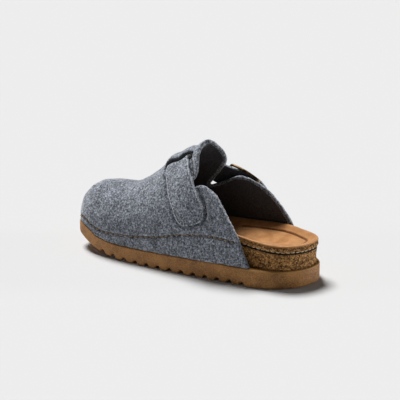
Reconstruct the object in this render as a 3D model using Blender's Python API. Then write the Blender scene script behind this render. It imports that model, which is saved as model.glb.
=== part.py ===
"""Felt clog for the right foot, open at the heel.

A ribbed outsole carries a cork footbed with a suede insole. A one-piece felt upper stands on the edge of
the outsole, and a felt strap runs under the bridge of its tongue to a pin buckle on the outer side.

Frame: metres, +Z up, +Y towards the toe, +X towards the outer side of the foot, origin on the floor below
the middle. Sizes and tables are in millimetres, measured from the back of the heel and from its long axis.
"""

import math
from collections import namedtuple

import bmesh
import bpy
from mathutils import Vector

MM = 0.001
MEDIAL, LATERAL = -1, 1

# Plan of the outsole
LENGTH = 270.0
HEEL_END = 54.0
TOE_START = 194.0
HEEL_FULLNESS = 1.95
TOE_FULLNESS = 2.2
HEEL_X, TIP_X = 7.5, -12.0
AXIS_X = -2.2
Breadth = namedtuple("Breadth", "along medial lateral")
BREADTHS = (
    Breadth(54, 41.8, 37.0),
    Breadth(100, 43.4, 38.2),
    Breadth(150, 44.6, 46.0),
    Breadth(175, 44.2, 50.2),
    Breadth(194, 43.4, 50.8),
)

# Height of the outsole, and the cork rim and stitched seam above it
TOE_SPRING = 16.8
SPRING_START = 186.0
Sole = namedtuple("Sole", "along thickness seam arch floor")
SOLE = (
    Sole(0, 19.0, 37.5, 0.5, 37.0),
    Sole(45, 19.0, 40.0, 0.5, 35.5),
    Sole(92, 18.6, 37.6, 8.6, 34.5),
    Sole(131, 17.9, 34.5, 7.5, 31.5),
    Sole(160, 17.4, 33.5, 1.5, 28.5),
    Sole(200, 16.2, 28.6, 0.0, 25.5),
    Sole(240, 13.8, 28.6, 0.0, 26.5),
    Sole(270, 12.2, 32.5, 0.0, 31.0),
)
ARCH_START, ARCH_FULL = 6.0, 36.0
TREAD_FIRST, TREAD_PITCH, TREAD_COUNT = 61.6, 13.8, 13
TREAD_DEPTH, TREAD_MOUTH, TREAD_BELOW = 3.4, 7.2, 3.0
OUTSOLE_EDGE, OUTSOLE_FOOT_ROUND = 1.2, 1.0
OUTSOLE_STATIONS, FOOTBED_STATIONS = (9, 18, 11), (8, 13, 8)
OUTSOLE_COLUMNS, FOOTBED_COLUMNS = 2, 12
RIM_HEIGHT = 6.5
RIM_FLAT, RIM_BAND = 1.5, 12.5
RIM_LIP, LEAST_CORK = 1.0, 0.5
GROOVE_DEPTH, GROOVE_WIDTH = 1.2, 1.6
CORK_HEEL_INSET, CORK_SIDE_INSET = 3.0, 6.2
RIM_HEEL_INSET, RIM_SIDE_INSET = 1.9, 6.8
COVERED_FROM = {MEDIAL: (18.0, 50.0), LATERAL: (4.0, 26.0)}
INSOLE_THICK = 1.4
GAP = 0.3

# Last of the upper: the ridge over the foot, and how square each section is
FELT = 4.4
UPPER_INSET = 0.5
TOE_CREST = 226.0
TOE_BOX_FULLNESS, TOE_BOX_FALL = 2.6, 0.63
TOE_NOSE = 10.0
SEAM_TROUGH, SEAM_MARGIN, TROUGH_FULL = 0.9, 3.0, 30.0
UPPER_BACK = 22.0
SECTIONS_BEHIND, SECTIONS_BRIDGE, SECTIONS_VAMP, SECTIONS_TOE = 10, 3, 6, 9
SECTION_COLUMNS = 9
Last = namedtuple("Last", "along ridge ridge_x rise crown")
LAST = (
    Last(20, 150.0, 0.0, 0.34, 0.36),
    Last(80, 145.0, -1.0, 0.34, 0.38),
    Last(110, 137.5, -1.0, 0.34, 0.44),
    Last(124, 133.8, -1.0, 0.35, 0.45),
    Last(138, 123.4, -1.5, 0.36, 0.44),
    Last(145, 117.3, -1.8, 0.37, 0.435),
    Last(152, 113.2, -2.0, 0.38, 0.43),
    Last(159, 110.8, -2.2, 0.39, 0.43),
    Last(166, 105.2, -2.5, 0.41, 0.43),
    Last(180, 92.5, -3.0, 0.45, 0.46),
    Last(195, 82.0, -3.5, 0.49, 0.51),
    Last(210, 74.2, -4.5, 0.52, 0.55),
    Last(226, 73.4, -5.5, 0.50, 0.57),
    Last(270, 73.4, -12.0, 0.18, 0.55),
)

# Collar and throat, as seen from each side: the edge from the outsole up to the top of the tongue
Collar = namedtuple("Collar", "along height")
COLLAR_MEDIAL = (
    Collar(49.5, 8),
    Collar(60.3, 31),
    Collar(67.3, 48.2),
    Collar(72, 56.2),
    Collar(78.3, 64.9),
    Collar(86.2, 75.6),
    Collar(94.4, 85.2),
    Collar(102.2, 90.3),
    Collar(109.8, 93.6),
    Collar(116.7, 93.2),
    Collar(123, 90),
    Collar(131, 83),
    Collar(138, 77),
    Collar(137.5, 81),
    Collar(132, 90),
    Collar(126.5, 96),
    Collar(123.4, 100.5),
    Collar(122.5, 105),
    Collar(122.7, 109),
    Collar(123.5, 112.6),
    Collar(125.2, 117),
    Collar(126.5, 121),
    Collar(127.2, 125),
    Collar(127.2, 128),
    Collar(126, 131.5),
    Collar(124.3, 134.5),
    Collar(124, 140),
)
COLLAR_LATERAL = (
    Collar(26, 8),
    Collar(36, 31),
    Collar(43.5, 46),
    Collar(50, 56),
    Collar(57, 66),
    Collar(63.3, 73.6),
    Collar(69.3, 79.2),
    Collar(76, 84.2),
    Collar(82.8, 87.3),
    Collar(89.5, 89.8),
    Collar(96, 90.3),
    Collar(105, 88.9),
    Collar(116, 83),
    Collar(126, 77.5),
    Collar(139.5, 72),
    Collar(138.5, 76),
    Collar(129.5, 86),
    Collar(120.5, 97),
    Collar(114.5, 105),
    Collar(112.8, 110.5),
    Collar(114.5, 117),
    Collar(117.5, 123),
    Collar(121, 129),
    Collar(123.3, 133),
    Collar(124, 140),
)

# Bridge over the strap: slits beside the ridge, at a share of the way from seam to ridge
SLIT_OUTER, SLIT_INNER = 0.75, 0.85
SLIT_MEDIAL = (134.5, 171.0)
SLIT_LATERAL = (136.0, 169.0)
BRIDGE_LIFT = 3.8
BRIDGE_RAMP = 5.0
COLLAR_SPLIT, COLLAR_OVERLAP = -0.5, 0.1

# Strap, and the buckle on its outer end
STRAP_THICK = 3.0
STRAP_CLEAR = 0.5
STRAP_DIVE = -5.0
TAB_ROUND, TAB_SQUARE, TIP_ROUND = 12.0, 0.6, 11.0
DIVE_SHARES = 0.76, 0.842
STRAP_STRIDE, SLIT_NEAR, STRIP_COLUMNS = 6.0, 0.12, 8
Course = namedtuple("Course", "side height along width")
STRAP_COURSE = (
    Course(MEDIAL, 55.5, 117.5, 34.0),
    Course(MEDIAL, 66.0, 121.5, 35.0),
    Course(MEDIAL, 75.3, 127.1, 35.3),
    Course(MEDIAL, 83.2, 132.9, 35.3),
    Course(MEDIAL, 91.7, 139.0, 35.0),
    Course(MEDIAL, 100.0, 145.0, 33.5),
    Course(MEDIAL, 107.5, 149.8, 28.5),
    Course(MEDIAL, 111.8, 152.8, 23.5),
    Course(LATERAL, 111.3, 152.6, 22.0),
    Course(LATERAL, 103.5, 148.5, 23.0),
    Course(LATERAL, 93.0, 139.0, 26.0),
    Course(LATERAL, 87.0, 129.0, 28.0),
    Course(LATERAL, 84.5, 119.0, 28.0),
    Course(LATERAL, 82.5, 108.5, 27.5),
    Course(LATERAL, 79.5, 98.0, 27.0),
    Course(LATERAL, 74.0, 88.0, 26.0),
    Course(LATERAL, 68.0, 80.0, 25.0),
    Course(LATERAL, 62.5, 74.0, 24.5),
)
STRAP_CLIMB, CLIMB_MARGIN = 3.0, 4.0
BUCKLE_AT = 163.5
BUCKLE_LENGTH, BUCKLE_WIDTH, BUCKLE_CORNER, BUCKLE_WIRE = 30.0, 31.5, 5.0, 2.8
BUCKLE_STEP = 6.0
PIN_WIRE, PIN_HOLE = 2.0, 3.6
PIN_HOLE_RUN = (-3.0, 7.0)
PIN_HOLE_LIFTS = (-3.0, 12.0)
Bend = namedtuple("Bend", "run lift")
PIN_BENDS = (
    Bend(12.0, 1.6),
    Bend(6.5, 1.8),
    Bend(3.5, 3.0),
    Bend(-1.5, 5.8),
    Bend(-5.5, 7.2),
    Bend(-10.5, 7.9),
    Bend(-16.8, 8.1),
)
TAB_WIDTH, TAB_THICK, TAB_LENGTH, TAB_ROWS = 19.0, 2.3, 12.0, 3

# Reach of the cutters, and the small steps in which directions on the upper are measured
CUTTER_SIDE, CUTTER_TOP, CUTTER_BACK = 90.0, 175.0, -30.0
PROBE_GIRTH, PROBE_ALONG, PROBE_RUN = 0.005, 0.5, 1.5

MATERIALS = {
    "eva": ((0.19, 0.105, 0.045), 0.75, 0.0),
    "cork": ((0.30, 0.17, 0.075), 0.9, 0.0),
    "suede": ((0.46, 0.245, 0.115), 0.95, 0.0),
    "felt": ((0.155, 0.165, 0.185), 1.0, 0.0),
    "bronze": ((0.30, 0.20, 0.11), 0.35, 1.0),
}


def table_curve(rows, column, key="along"):
    """A smooth function through one column of a table, level at and beyond both ends."""
    xs = [getattr(row, key) for row in rows]
    ys = [getattr(row, column) for row in rows]
    slopes = [0.0] * len(xs)
    for i in range(1, len(xs) - 1):
        slopes[i] = (ys[i + 1] - ys[i - 1]) / (xs[i + 1] - xs[i - 1])

    def value(x):
        if x <= xs[0]:
            return ys[0]
        for i in range(len(xs) - 1):
            if x <= xs[i + 1]:
                span = xs[i + 1] - xs[i]
                f = (x - xs[i]) / span
                start = ys[i] * (1 + 2 * f) + slopes[i] * span * f
                end = ys[i + 1] * (3 - 2 * f) - slopes[i + 1] * span * (1 - f)
                return start * (1 - f) ** 2 + end * f**2
        return ys[-1]

    return value


def smooth_step(low, high, x):
    """0 below low, 1 above high, eased between them."""
    f = min(1.0, max(0.0, (x - low) / (high - low)))
    return f * f * (3 - 2 * f)


def blend(a, b, f):
    return a + (b - a) * f


half_width = {MEDIAL: table_curve(BREADTHS, "medial"), LATERAL: table_curve(BREADTHS, "lateral")}
seam_line = table_curve(SOLE, "seam")
arch_rise = table_curve(SOLE, "arch")
sole_thickness = table_curve(SOLE, "thickness")
floor_height = table_curve(SOLE, "floor")
ridge_height = table_curve(LAST, "ridge")
ridge_x = table_curve(LAST, "ridge_x")
rise = table_curve(LAST, "rise")
crown = table_curve(LAST, "crown")


# Plan and levels

def round_off(reach, fullness):
    """Quarter of a superellipse: 1 where it starts, 0 at its end."""
    return max(0.0, 1.0 - min(1.0, max(0.0, reach)) ** fullness) ** (1.0 / fullness)


def edge_x(side, along, inset=0.0):
    """Where the plan outline lies on one side, taken in by inset."""
    if along < HEEL_END:
        reach = (HEEL_END - along) / (HEEL_END - inset)
        breadth = abs(side * half_width[side](HEEL_END) - HEEL_X) - inset
        return HEEL_X + side * breadth * round_off(reach, HEEL_FULLNESS)
    if along > TOE_START:
        reach = (along - TOE_START) / (LENGTH - inset - TOE_START)
        breadth = abs(side * half_width[side](TOE_START) - TIP_X) - inset
        return TIP_X + side * breadth * round_off(reach, TOE_FULLNESS)
    return side * (half_width[side](along) - inset)


def station_along(station, inset=0.0):
    """Distance from the heel for a station: 0 to 1 rounds the heel, 1 to 2 is the waist, 2 to 3 the toe."""
    if station < 1:
        angle = station * math.pi / 2
        return HEEL_END - (HEEL_END - inset) * math.cos(angle) ** (2 / HEEL_FULLNESS)
    if station <= 2:
        return blend(HEEL_END, TOE_START, station - 1)
    angle = (station - 2) * math.pi / 2
    return TOE_START + (LENGTH - inset - TOE_START) * math.sin(angle) ** (2 / TOE_FULLNESS)


def spaced(start, end, count):
    """Evenly spaced values from start up to the one before end."""
    return [blend(start, end, i / count) for i in range(count)]


def stations(heel, waist, toe):
    """Stations from the back of the heel to the tip of the toe."""
    return spaced(0.0, 1.0, heel) + spaced(1.0, 2.0, waist) + spaced(2.0, 3.0, toe) + [3.0]


def ground(along):
    """Underside of the outsole, lifted at the toe."""
    return TOE_SPRING * max(0.0, (along - SPRING_START) / (LENGTH - SPRING_START)) ** 2


def deck(along):
    """Top of the outsole."""
    return ground(along) + sole_thickness(along)


def seam_height(side, along):
    """Height of the stitched seam, raised along the arch on the medial side."""
    raised = arch_rise(along) * smooth_step(ARCH_START, ARCH_FULL, along) if side == MEDIAL else 0.0
    return seam_line(along) + raised


def footbed_top(side_share, along):
    """Top of the insole. The share runs from 0 at the medial edge to 1 at the lateral edge."""
    across = abs(edge_x(LATERAL, along) - edge_x(MEDIAL, along))
    from_edge = min(side_share, 1 - side_share) * across
    side = MEDIAL if side_share < 0.5 else LATERAL
    depth = seam_height(side, along) + RIM_HEIGHT - floor_height(along)
    from_end = min(along - RIM_HEEL_INSET, LENGTH - RIM_SIDE_INSET - along)
    wall = min(from_edge, max(0.0, from_end))
    return floor_height(along) + depth * (1 - smooth_step(RIM_FLAT, RIM_BAND, wall))


# Mesh helpers

def new_object(name, mesh_data, material):
    mesh = bpy.data.meshes.new(name)
    mesh_data.to_mesh(mesh)
    mesh_data.free()
    obj = bpy.data.objects.new(name, mesh)
    bpy.context.scene.collection.objects.link(obj)
    if material:
        mesh.materials.append(bpy.data.materials[material])
    mesh.shade_smooth()
    mesh.set_sharp_from_angle(angle=math.radians(40))
    return obj


def vertex(mesh_data, point):
    """A vertex at a point in shoe millimetres, placed in the part's frame."""
    x, y, z = point
    return mesh_data.verts.new(((x + AXIS_X) * MM, (y - LENGTH / 2) * MM, z * MM))


def quad(mesh_data, corners):
    """A face on the corners, unless some of them are shared."""
    unique = list(dict.fromkeys(corners))
    if len(unique) > 2:
        mesh_data.faces.new(unique)


def skin(mesh_data, grid):
    """Faces over a grid of vertices."""
    for row, following in zip(grid, grid[1:]):
        for a, b, c, d in zip(row, row[1:], following[1:], following):
            quad(mesh_data, (a, b, c, d))


def close_up(mesh_data):
    """Joins vertices at the same place and turns every face outwards."""
    bmesh.ops.remove_doubles(mesh_data, verts=mesh_data.verts, dist=1e-6)
    bmesh.ops.dissolve_degenerate(mesh_data, edges=mesh_data.edges, dist=1e-7)
    bmesh.ops.recalc_face_normals(mesh_data, faces=mesh_data.faces)


def plate(name, places, material, levels, under, over, columns):
    """A closed solid on the plan outline: a lower surface, levels up the side, and an upper surface.

    Each level is an inset and a height, as functions of the side and the distance from the heel. under and
    over are the inset of a surface's edge and its height for a share across the plate.
    """
    mesh_data = bmesh.new()

    def rim_point(side, station, inset_of):
        inset = inset_of(side, station_along(station))
        along = station_along(station, inset)
        return edge_x(side, along, inset), along

    def surface(inset_of, height_of):
        grid = []
        for station in places:
            ends = [rim_point(side, station, inset_of) for side in (MEDIAL, LATERAL)]
            row = []
            for column in range(columns + 1):
                share = 0.5 - 0.5 * math.cos(math.pi * column / columns)
                x, along = (blend(a, b, share) for a, b in zip(*ends))
                row.append(vertex(mesh_data, (x, along, height_of(share, along))))
            grid.append(row)
        skin(mesh_data, grid)

    surface(*under)
    surface(*over)
    for side in (MEDIAL, LATERAL):
        wall = []
        for inset_of, height_of in levels:
            line = []
            for station in places:
                x, along = rim_point(side, station, inset_of)
                line.append(vertex(mesh_data, (x, along, height_of(side, along))))
            wall.append(line)
        skin(mesh_data, wall)
    close_up(mesh_data)
    return new_object(name, mesh_data, material)


def prism(name, outline, low, high):
    """A cutter: an outline seen from the side, given as (along, height), from x low to x high."""
    mesh_data = bmesh.new()
    face = mesh_data.faces.new([vertex(mesh_data, (low, along, height)) for along, height in outline])
    swept = bmesh.ops.extrude_face_region(mesh_data, geom=[face])["geom"]
    moved = [item for item in swept if isinstance(item, bmesh.types.BMVert)]
    bmesh.ops.translate(mesh_data, verts=moved, vec=((high - low) * MM, 0, 0))
    return hidden(name, mesh_data)


def hidden(name, mesh_data):
    """A cutter object, left out of the model."""
    bmesh.ops.recalc_face_normals(mesh_data, faces=mesh_data.faces)
    cutter = new_object(name, mesh_data, None)
    cutter.hide_render = True
    cutter.display_type = "WIRE"
    return cutter


def cut(obj, cutter):
    modifier = obj.modifiers.new(cutter.name, "BOOLEAN")
    modifier.operation = "DIFFERENCE"
    modifier.solver = "EXACT"
    modifier.object = cutter


def smooth_line(points, steps):
    """Points along a smooth curve through the given ones, sharp where three of them turn back."""
    line = []
    for i in range(len(points) - 1):
        before = points[max(0, i - 1)]
        here, there = points[i], points[i + 1]
        after = points[min(len(points) - 1, i + 2)]
        leave = [(t - b) / 2 for t, b in zip(there, before)]
        arrive = [(a - h) / 2 for a, h in zip(after, here)]
        for step in range(steps):
            f = step / steps
            line.append(tuple(
                h * (1 + 2 * f) * (1 - f) ** 2 + m * f * (1 - f) ** 2
                + t * (3 - 2 * f) * f**2 - n * (1 - f) * f**2
                for h, t, m, n in zip(here, there, leave, arrive)
            ))
    line.append(tuple(points[-1]))
    return line


# Sole

def build_outsole():
    def level(inset, height):
        return lambda side, along: inset, lambda side, along: height(along)

    foot, lip = OUTSOLE_FOOT_ROUND, OUTSOLE_EDGE
    levels = (
        level(foot, ground),
        level(foot / 3, lambda along: ground(along) + foot / 3),
        level(0.0, lambda along: ground(along) + foot * 1.25),
        level(0.0, lambda along: deck(along) - lip),
        level(lip, deck),
    )
    under = (levels[0][0], lambda share, along: ground(along))
    over = (levels[-1][0], lambda share, along: deck(along))
    outsole = plate("outsole", stations(*OUTSOLE_STATIONS), "eva", levels, under, over, OUTSOLE_COLUMNS)
    half, height = TREAD_MOUTH / 2, TREAD_DEPTH + TREAD_BELOW
    for number in range(TREAD_COUNT):
        middle = TREAD_FIRST + TREAD_PITCH * number
        base = ground(middle) - TREAD_BELOW
        angles = spaced(0.0, math.pi, 6) + [math.pi]
        outline = [(middle - half * math.cos(angle), base + height * math.sin(angle)) for angle in angles]
        cut(outsole, prism(f"tread_cutter_{number:02d}", outline, -CUTTER_SIDE, CUTTER_SIDE))
    return outsole


def cork_inset(bare, covered):
    """An inset that is small where the heel is bare and larger where the upper covers the side."""
    return lambda side, along: blend(bare, covered, smooth_step(*COVERED_FROM[side], along))


def edge_share(side):
    return 0.0 if side == MEDIAL else 1.0


def build_footbed():
    low = cork_inset(CORK_HEEL_INSET, CORK_SIDE_INSET)
    rim = cork_inset(RIM_HEEL_INSET, RIM_SIDE_INSET)

    def bottom(side, along):
        return deck(along) + GAP

    def under_insole(share, along):
        return footbed_top(share, along) - INSOLE_THICK - GAP

    def top_edge(side, along):
        return under_insole(edge_share(side), along)

    def groove(drop):
        return lambda side, along: min(seam_height(side, along), top_edge(side, along) - RIM_LIP) - drop

    levels = (
        (low, bottom),
        (low, lambda side, along: max(bottom(side, along) + LEAST_CORK, groove(GROOVE_WIDTH)(side, along))),
        (lambda side, along: low(side, along) + GROOVE_DEPTH, groove(GROOVE_WIDTH / 2)),
        (rim, groove(0.0)),
        (rim, top_edge),
    )
    over = (rim, under_insole)
    places = stations(*FOOTBED_STATIONS)
    return plate("footbed", places, "cork", levels, (low, bottom), over, FOOTBED_COLUMNS)


def build_insole():
    rim = cork_inset(RIM_HEEL_INSET, RIM_SIDE_INSET)

    def lower(share, along):
        return footbed_top(share, along) - INSOLE_THICK

    levels = [
        (rim, lambda side, along, height=height: height(edge_share(side), along))
        for height in (lower, footbed_top)
    ]
    places = stations(*FOOTBED_STATIONS)
    return plate("insole", places, "suede", levels, (rim, lower), (rim, footbed_top), FOOTBED_COLUMNS)


# Upper

def ridge_at(along):
    """Height of the ridge, rounded down to the nose at the tip of the toe."""
    if along <= TOE_CREST:
        return ridge_height(along)
    nose = seam_height(MEDIAL, LENGTH) + TOE_NOSE
    reach = min(1.0, (along - TOE_CREST) / (LENGTH - UPPER_INSET - TOE_CREST))
    return nose + (ridge_height(TOE_CREST) - nose) * (1 - reach**TOE_BOX_FULLNESS) ** TOE_BOX_FALL


def seam_at(side, along):
    return min(seam_height(side, along), ridge_at(along))


def section(side, along, share):
    """Point on the outer face of the upper, from the seam (0) to the ridge (1)."""
    foot = edge_x(side, along, UPPER_INSET)
    top_x = ridge_x(along)
    seam, ridge = seam_at(side, along), ridge_at(along)
    shoulder = seam + rise(along) * (ridge - seam)
    brow = top_x + crown(along) * (foot - top_x)
    a, b, c, d = (1 - share) ** 3, 3 * share * (1 - share) ** 2, 3 * share**2 * (1 - share), share**3
    return Vector((
        foot * (a + b) + brow * c + top_x * d,
        along,
        seam * a + shoulder * b + ridge * (c + d),
    ))


def trough_point(side, along):
    """Bottom of the stitched trough on the seam, shallower where the toe is low."""
    seam = seam_at(side, along)
    depth = SEAM_TROUGH * min(1.0, (ridge_at(along) - seam) / TROUGH_FULL)
    back = depth * max(0.0, along - TOE_START) / (LENGTH - UPPER_INSET - TOE_START)
    return Vector((edge_x(side, along - back, UPPER_INSET + depth), along - back, seam))


def over_foot(girth, along):
    """Outer face by girth: -1 at the medial seam, 0 on the ridge, 1 at the lateral seam."""
    return section(MEDIAL if girth < 0 else LATERAL, along, 1 - abs(girth))


def outward(girth, along):
    """Outward normal of the upper."""
    low, high = max(-1.0, girth - PROBE_GIRTH), min(1.0, girth + PROBE_GIRTH)
    across = over_foot(high, along) - over_foot(low, along)
    ahead = over_foot(girth, along + PROBE_ALONG) - over_foot(girth, along - PROBE_ALONG)
    return across.cross(ahead).normalized()


def slit_span(girth):
    """Where the bridge starts and ends at a girth, between its two slits."""
    lean = (girth / (1 - SLIT_OUTER) + 1) / 2
    return [blend(m, l, lean) for m, l in zip(SLIT_MEDIAL, SLIT_LATERAL)]


def bridge_lift(girth, along):
    """How far the felt between the slits stands off its own line."""
    if 1 - abs(girth) < SLIT_INNER - 1e-6:
        return 0.0
    start, end = slit_span(girth)
    return BRIDGE_LIFT * smooth_step(start, start + BRIDGE_RAMP, along) * (
        1 - smooth_step(end - BRIDGE_RAMP, end, along))


def bridged(girth, along):
    """Point on the outer face, raised where it is part of the bridge."""
    lift = bridge_lift(girth, along)
    point = over_foot(girth, along)
    return point + outward(girth, along) * lift if lift else point


def upper_rows():
    """Distances from the heel at which the upper has a section."""
    slits = (*SLIT_MEDIAL, *SLIT_LATERAL)
    behind = spaced(UPPER_BACK, min(slits), SECTIONS_BEHIND)
    level, falling = SLIT_MEDIAL[0] + BRIDGE_RAMP, SLIT_LATERAL[1] - BRIDGE_RAMP
    bridge = sorted({*slits, *spaced(level, falling, SECTIONS_BRIDGE), falling})
    vamp = spaced(max(slits), TOE_CREST, SECTIONS_VAMP)[1:]
    angles = spaced(0.0, math.pi / 2, SECTIONS_TOE) + [math.pi / 2]
    toe = [TOE_CREST + (LENGTH - UPPER_INSET - TOE_CREST) * math.sin(angle) for angle in angles]
    return behind + bridge + vamp + toe


def side_points(side, along, shares):
    """One side of a section, from the outsole up to the last share before the ridge."""
    foot = edge_x(side, along, UPPER_INSET)
    base, seam = deck(along) + GAP, seam_at(side, along)
    middle = max((base + seam) / 2, seam - SEAM_MARGIN)
    points = [Vector((foot, along, base)), Vector((foot, along, middle)), trough_point(side, along)]
    return points + [bridged(side * (1 - share), along) for share in shares]


def build_upper():
    mesh_data = bmesh.new()
    shares = spaced(0.0, SLIT_OUTER, SECTION_COLUMNS)[1:] + [SLIT_OUTER, SLIT_INNER, (1 + SLIT_INNER) / 2]
    alongs = upper_rows()
    rows = []
    for along in alongs:
        medial, lateral = (side_points(side, along, shares) for side in (MEDIAL, LATERAL))
        line = medial + [bridged(0.0, along)] + lateral[::-1]
        rows.append([vertex(mesh_data, point) for point in line])
    columns = len(rows[0])
    medial_slit = columns // 2 - 3
    slits = {medial_slit: SLIT_MEDIAL, columns - 2 - medial_slit: SLIT_LATERAL}
    for i in range(len(rows) - 1):
        for j in range(columns - 1):
            start, end = slits.get(j, (0.0, 0.0))
            if start <= alongs[i] and alongs[i + 1] <= end:
                continue
            quad(mesh_data, (rows[i][j], rows[i + 1][j], rows[i + 1][j + 1], rows[i][j + 1]))
    close_up(mesh_data)
    upper = new_object("upper", mesh_data, "felt")
    shell = upper.modifiers.new("felt wall", "SOLIDIFY")
    shell.thickness = FELT * MM
    shell.offset = -1.0
    for name, edge, low, high in (
        ("medial_collar_cutter", COLLAR_MEDIAL, -CUTTER_SIDE, COLLAR_SPLIT),
        ("lateral_collar_cutter", COLLAR_LATERAL, COLLAR_SPLIT - COLLAR_OVERLAP, CUTTER_SIDE),
    ):
        line = smooth_line([(row.along, row.height) for row in edge], 4)
        behind = [(line[-1][0], CUTTER_TOP), (CUTTER_BACK, CUTTER_TOP), (CUTTER_BACK, line[0][1])]
        cut(upper, prism(name, line + behind, low, high))
    return upper


# Strap and buckle

def girth_at(side, along, height):
    """Girth at which a side of the upper reaches a height."""
    low, high = 0.0, 1.0
    for _ in range(40):
        middle = (low + high) / 2
        if section(side, along, middle).z < height:
            low = middle
        else:
            high = middle
    return side * (1 - low)


class Ribbon:
    """A strip laid over the upper along a course of (girth, along, width) points."""

    def __init__(self, course, steps=12):
        self.points = smooth_line(course, steps)
        self.lengths = [0.0]
        for a, b in zip(self.points, self.points[1:]):
            self.lengths.append(self.lengths[-1] + (over_foot(*b[:2]) - over_foot(*a[:2])).length)
        self.total = self.lengths[-1]

    def place(self, distance):
        """Girth, along and width at a distance from the medial end."""
        for i in range(len(self.lengths) - 1):
            if distance <= self.lengths[i + 1] or i == len(self.lengths) - 2:
                f = (distance - self.lengths[i]) / (self.lengths[i + 1] - self.lengths[i])
                return tuple(blend(a, b, f) for a, b in zip(self.points[i], self.points[i + 1]))

    def spread(self, distance, sideways):
        """Girth and along at a distance along the strip and a distance sideways towards the toe."""
        girth, along, _ = self.place(distance)
        before = self.place(max(0.0, distance - PROBE_RUN))
        after = self.place(min(self.total, distance + PROBE_RUN))
        run = (over_foot(*after[:2]) - over_foot(*before[:2])).normalized()
        across = outward(girth, along).cross(run)
        step = over_foot(girth + PROBE_GIRTH, along) - over_foot(girth - PROBE_GIRTH, along)
        by_girth = step / (2 * PROBE_GIRTH)
        step = over_foot(girth, along + PROBE_ALONG) - over_foot(girth, along - PROBE_ALONG)
        by_along = step / (2 * PROBE_ALONG)
        gg, ga, aa = by_girth.dot(by_girth), by_girth.dot(by_along), by_along.dot(by_along)
        g, a = by_girth.dot(across), by_along.dot(across)
        area = gg * aa - ga * ga
        return girth + sideways * (g * aa - a * ga) / area, along + sideways * (a * gg - g * ga) / area

    def point(self, distance, sideways, lift):
        """Point of the strip, lifted off the upper."""
        girth, along = self.spread(distance, sideways)
        return over_foot(girth, along) + outward(girth, along) * lift


def strip(name, ribbon, rows, thick, material):
    """A closed strip: each row gives distance, half width and the lift of its underside."""
    mesh_data = bmesh.new()
    across = [2 * share - 1 for share in spaced(0.0, 1.0, STRIP_COLUMNS)] + [1.0]
    faces = []
    for top in (0.0, thick):
        faces.append([
            [vertex(mesh_data, ribbon.point(distance, half * share, lift(distance, half * share) + top))
             for share in across]
            for distance, half, lift in rows
        ])
    lower, upper_face = faces
    skin(mesh_data, lower)
    skin(mesh_data, upper_face)
    for index in (0, -1):
        skin(mesh_data, [lower[index], upper_face[index]])
        skin(mesh_data, [[row[index] for row in lower], [row[index] for row in upper_face]])
    close_up(mesh_data)
    return new_object(name, mesh_data, material)


def strap_lift(ribbon):
    """Lift of the strap's underside: on the upper, sunk under the bridge, and up over the buckle's bar."""
    top_bar, low_bar = BUCKLE_AT - BUCKLE_LENGTH / 2, BUCKLE_AT + BUCKLE_LENGTH / 2

    def lift(distance, sideways):
        share = 1 - abs(ribbon.spread(distance, sideways)[0])
        dive = smooth_step(*DIVE_SHARES, share)
        climb = smooth_step(top_bar + CLIMB_MARGIN, low_bar - CLIMB_MARGIN, distance)
        return STRAP_CLEAR + (STRAP_DIVE - STRAP_CLEAR) * dive + STRAP_CLIMB * climb

    return lift


def strap_rows(ribbon):
    """Distance and share of the width for each row: the ends are round, the dives finely cut."""
    quarter = spaced(0.0, math.pi / 2, 6)
    rows = []
    for angle in reversed(quarter):
        rows.append((TAB_ROUND * (1 - math.sin(angle)), math.cos(angle) ** TAB_SQUARE))
    distance, tip_start = TAB_ROUND, ribbon.total - TIP_ROUND
    while distance + STRAP_STRIDE < tip_start:
        share = 1 - abs(ribbon.place(distance)[0])
        distance += STRAP_STRIDE / 3 if share > SLIT_OUTER - SLIT_NEAR else STRAP_STRIDE
        rows.append((distance, 1.0))
    rows += [(tip_start + TIP_ROUND * math.sin(angle), math.cos(angle)) for angle in quarter]
    return rows


def build_strap(ribbon):
    """The strap, with a slot for the buckle's pin."""
    lift = strap_lift(ribbon)
    rows = [(d, share * ribbon.place(d)[2] / 2, lift) for d, share in strap_rows(ribbon)]
    strap = strip("strap", ribbon, rows, STRAP_THICK, "felt")
    radius = PIN_HOLE / 2
    outline = []
    for run, inward, turn in ((PIN_HOLE_RUN[0], 1, 180), (PIN_HOLE_RUN[1], -1, 0)):
        for k in range(-2, 3):
            angle = math.radians(turn + 45 * k)
            reach = run + inward * radius + radius * math.cos(angle)
            outline.append((BUCKLE_AT + reach, radius * math.sin(angle)))
    cutter = bmesh.new()
    rings = [[vertex(cutter, ribbon.point(*place, lift)) for place in outline] for lift in PIN_HOLE_LIFTS]
    skin(cutter, [ring + ring[:1] for ring in rings])
    for ring in rings:
        cutter.faces.new(ring)
    cut(strap, hidden("pin_slot_cutter", cutter))
    return strap


def tube(name, points, radius, material, closed):
    """A bent wire of round section through points in shoe millimetres."""
    curve = bpy.data.curves.new(name, "CURVE")
    curve.dimensions = "3D"
    curve.bevel_depth = radius * MM
    curve.bevel_resolution = 2
    curve.use_fill_caps = not closed
    spline = curve.splines.new("POLY")
    spline.points.add(len(points) - 1)
    spline.use_cyclic_u = closed
    for target, (x, y, z) in zip(spline.points, points):
        target.co = ((x + AXIS_X) * MM, (y - LENGTH / 2) * MM, z * MM, 1.0)
    obj = bpy.data.objects.new(name, curve)
    bpy.context.scene.collection.objects.link(obj)
    curve.materials.append(bpy.data.materials[material])
    return obj


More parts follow.
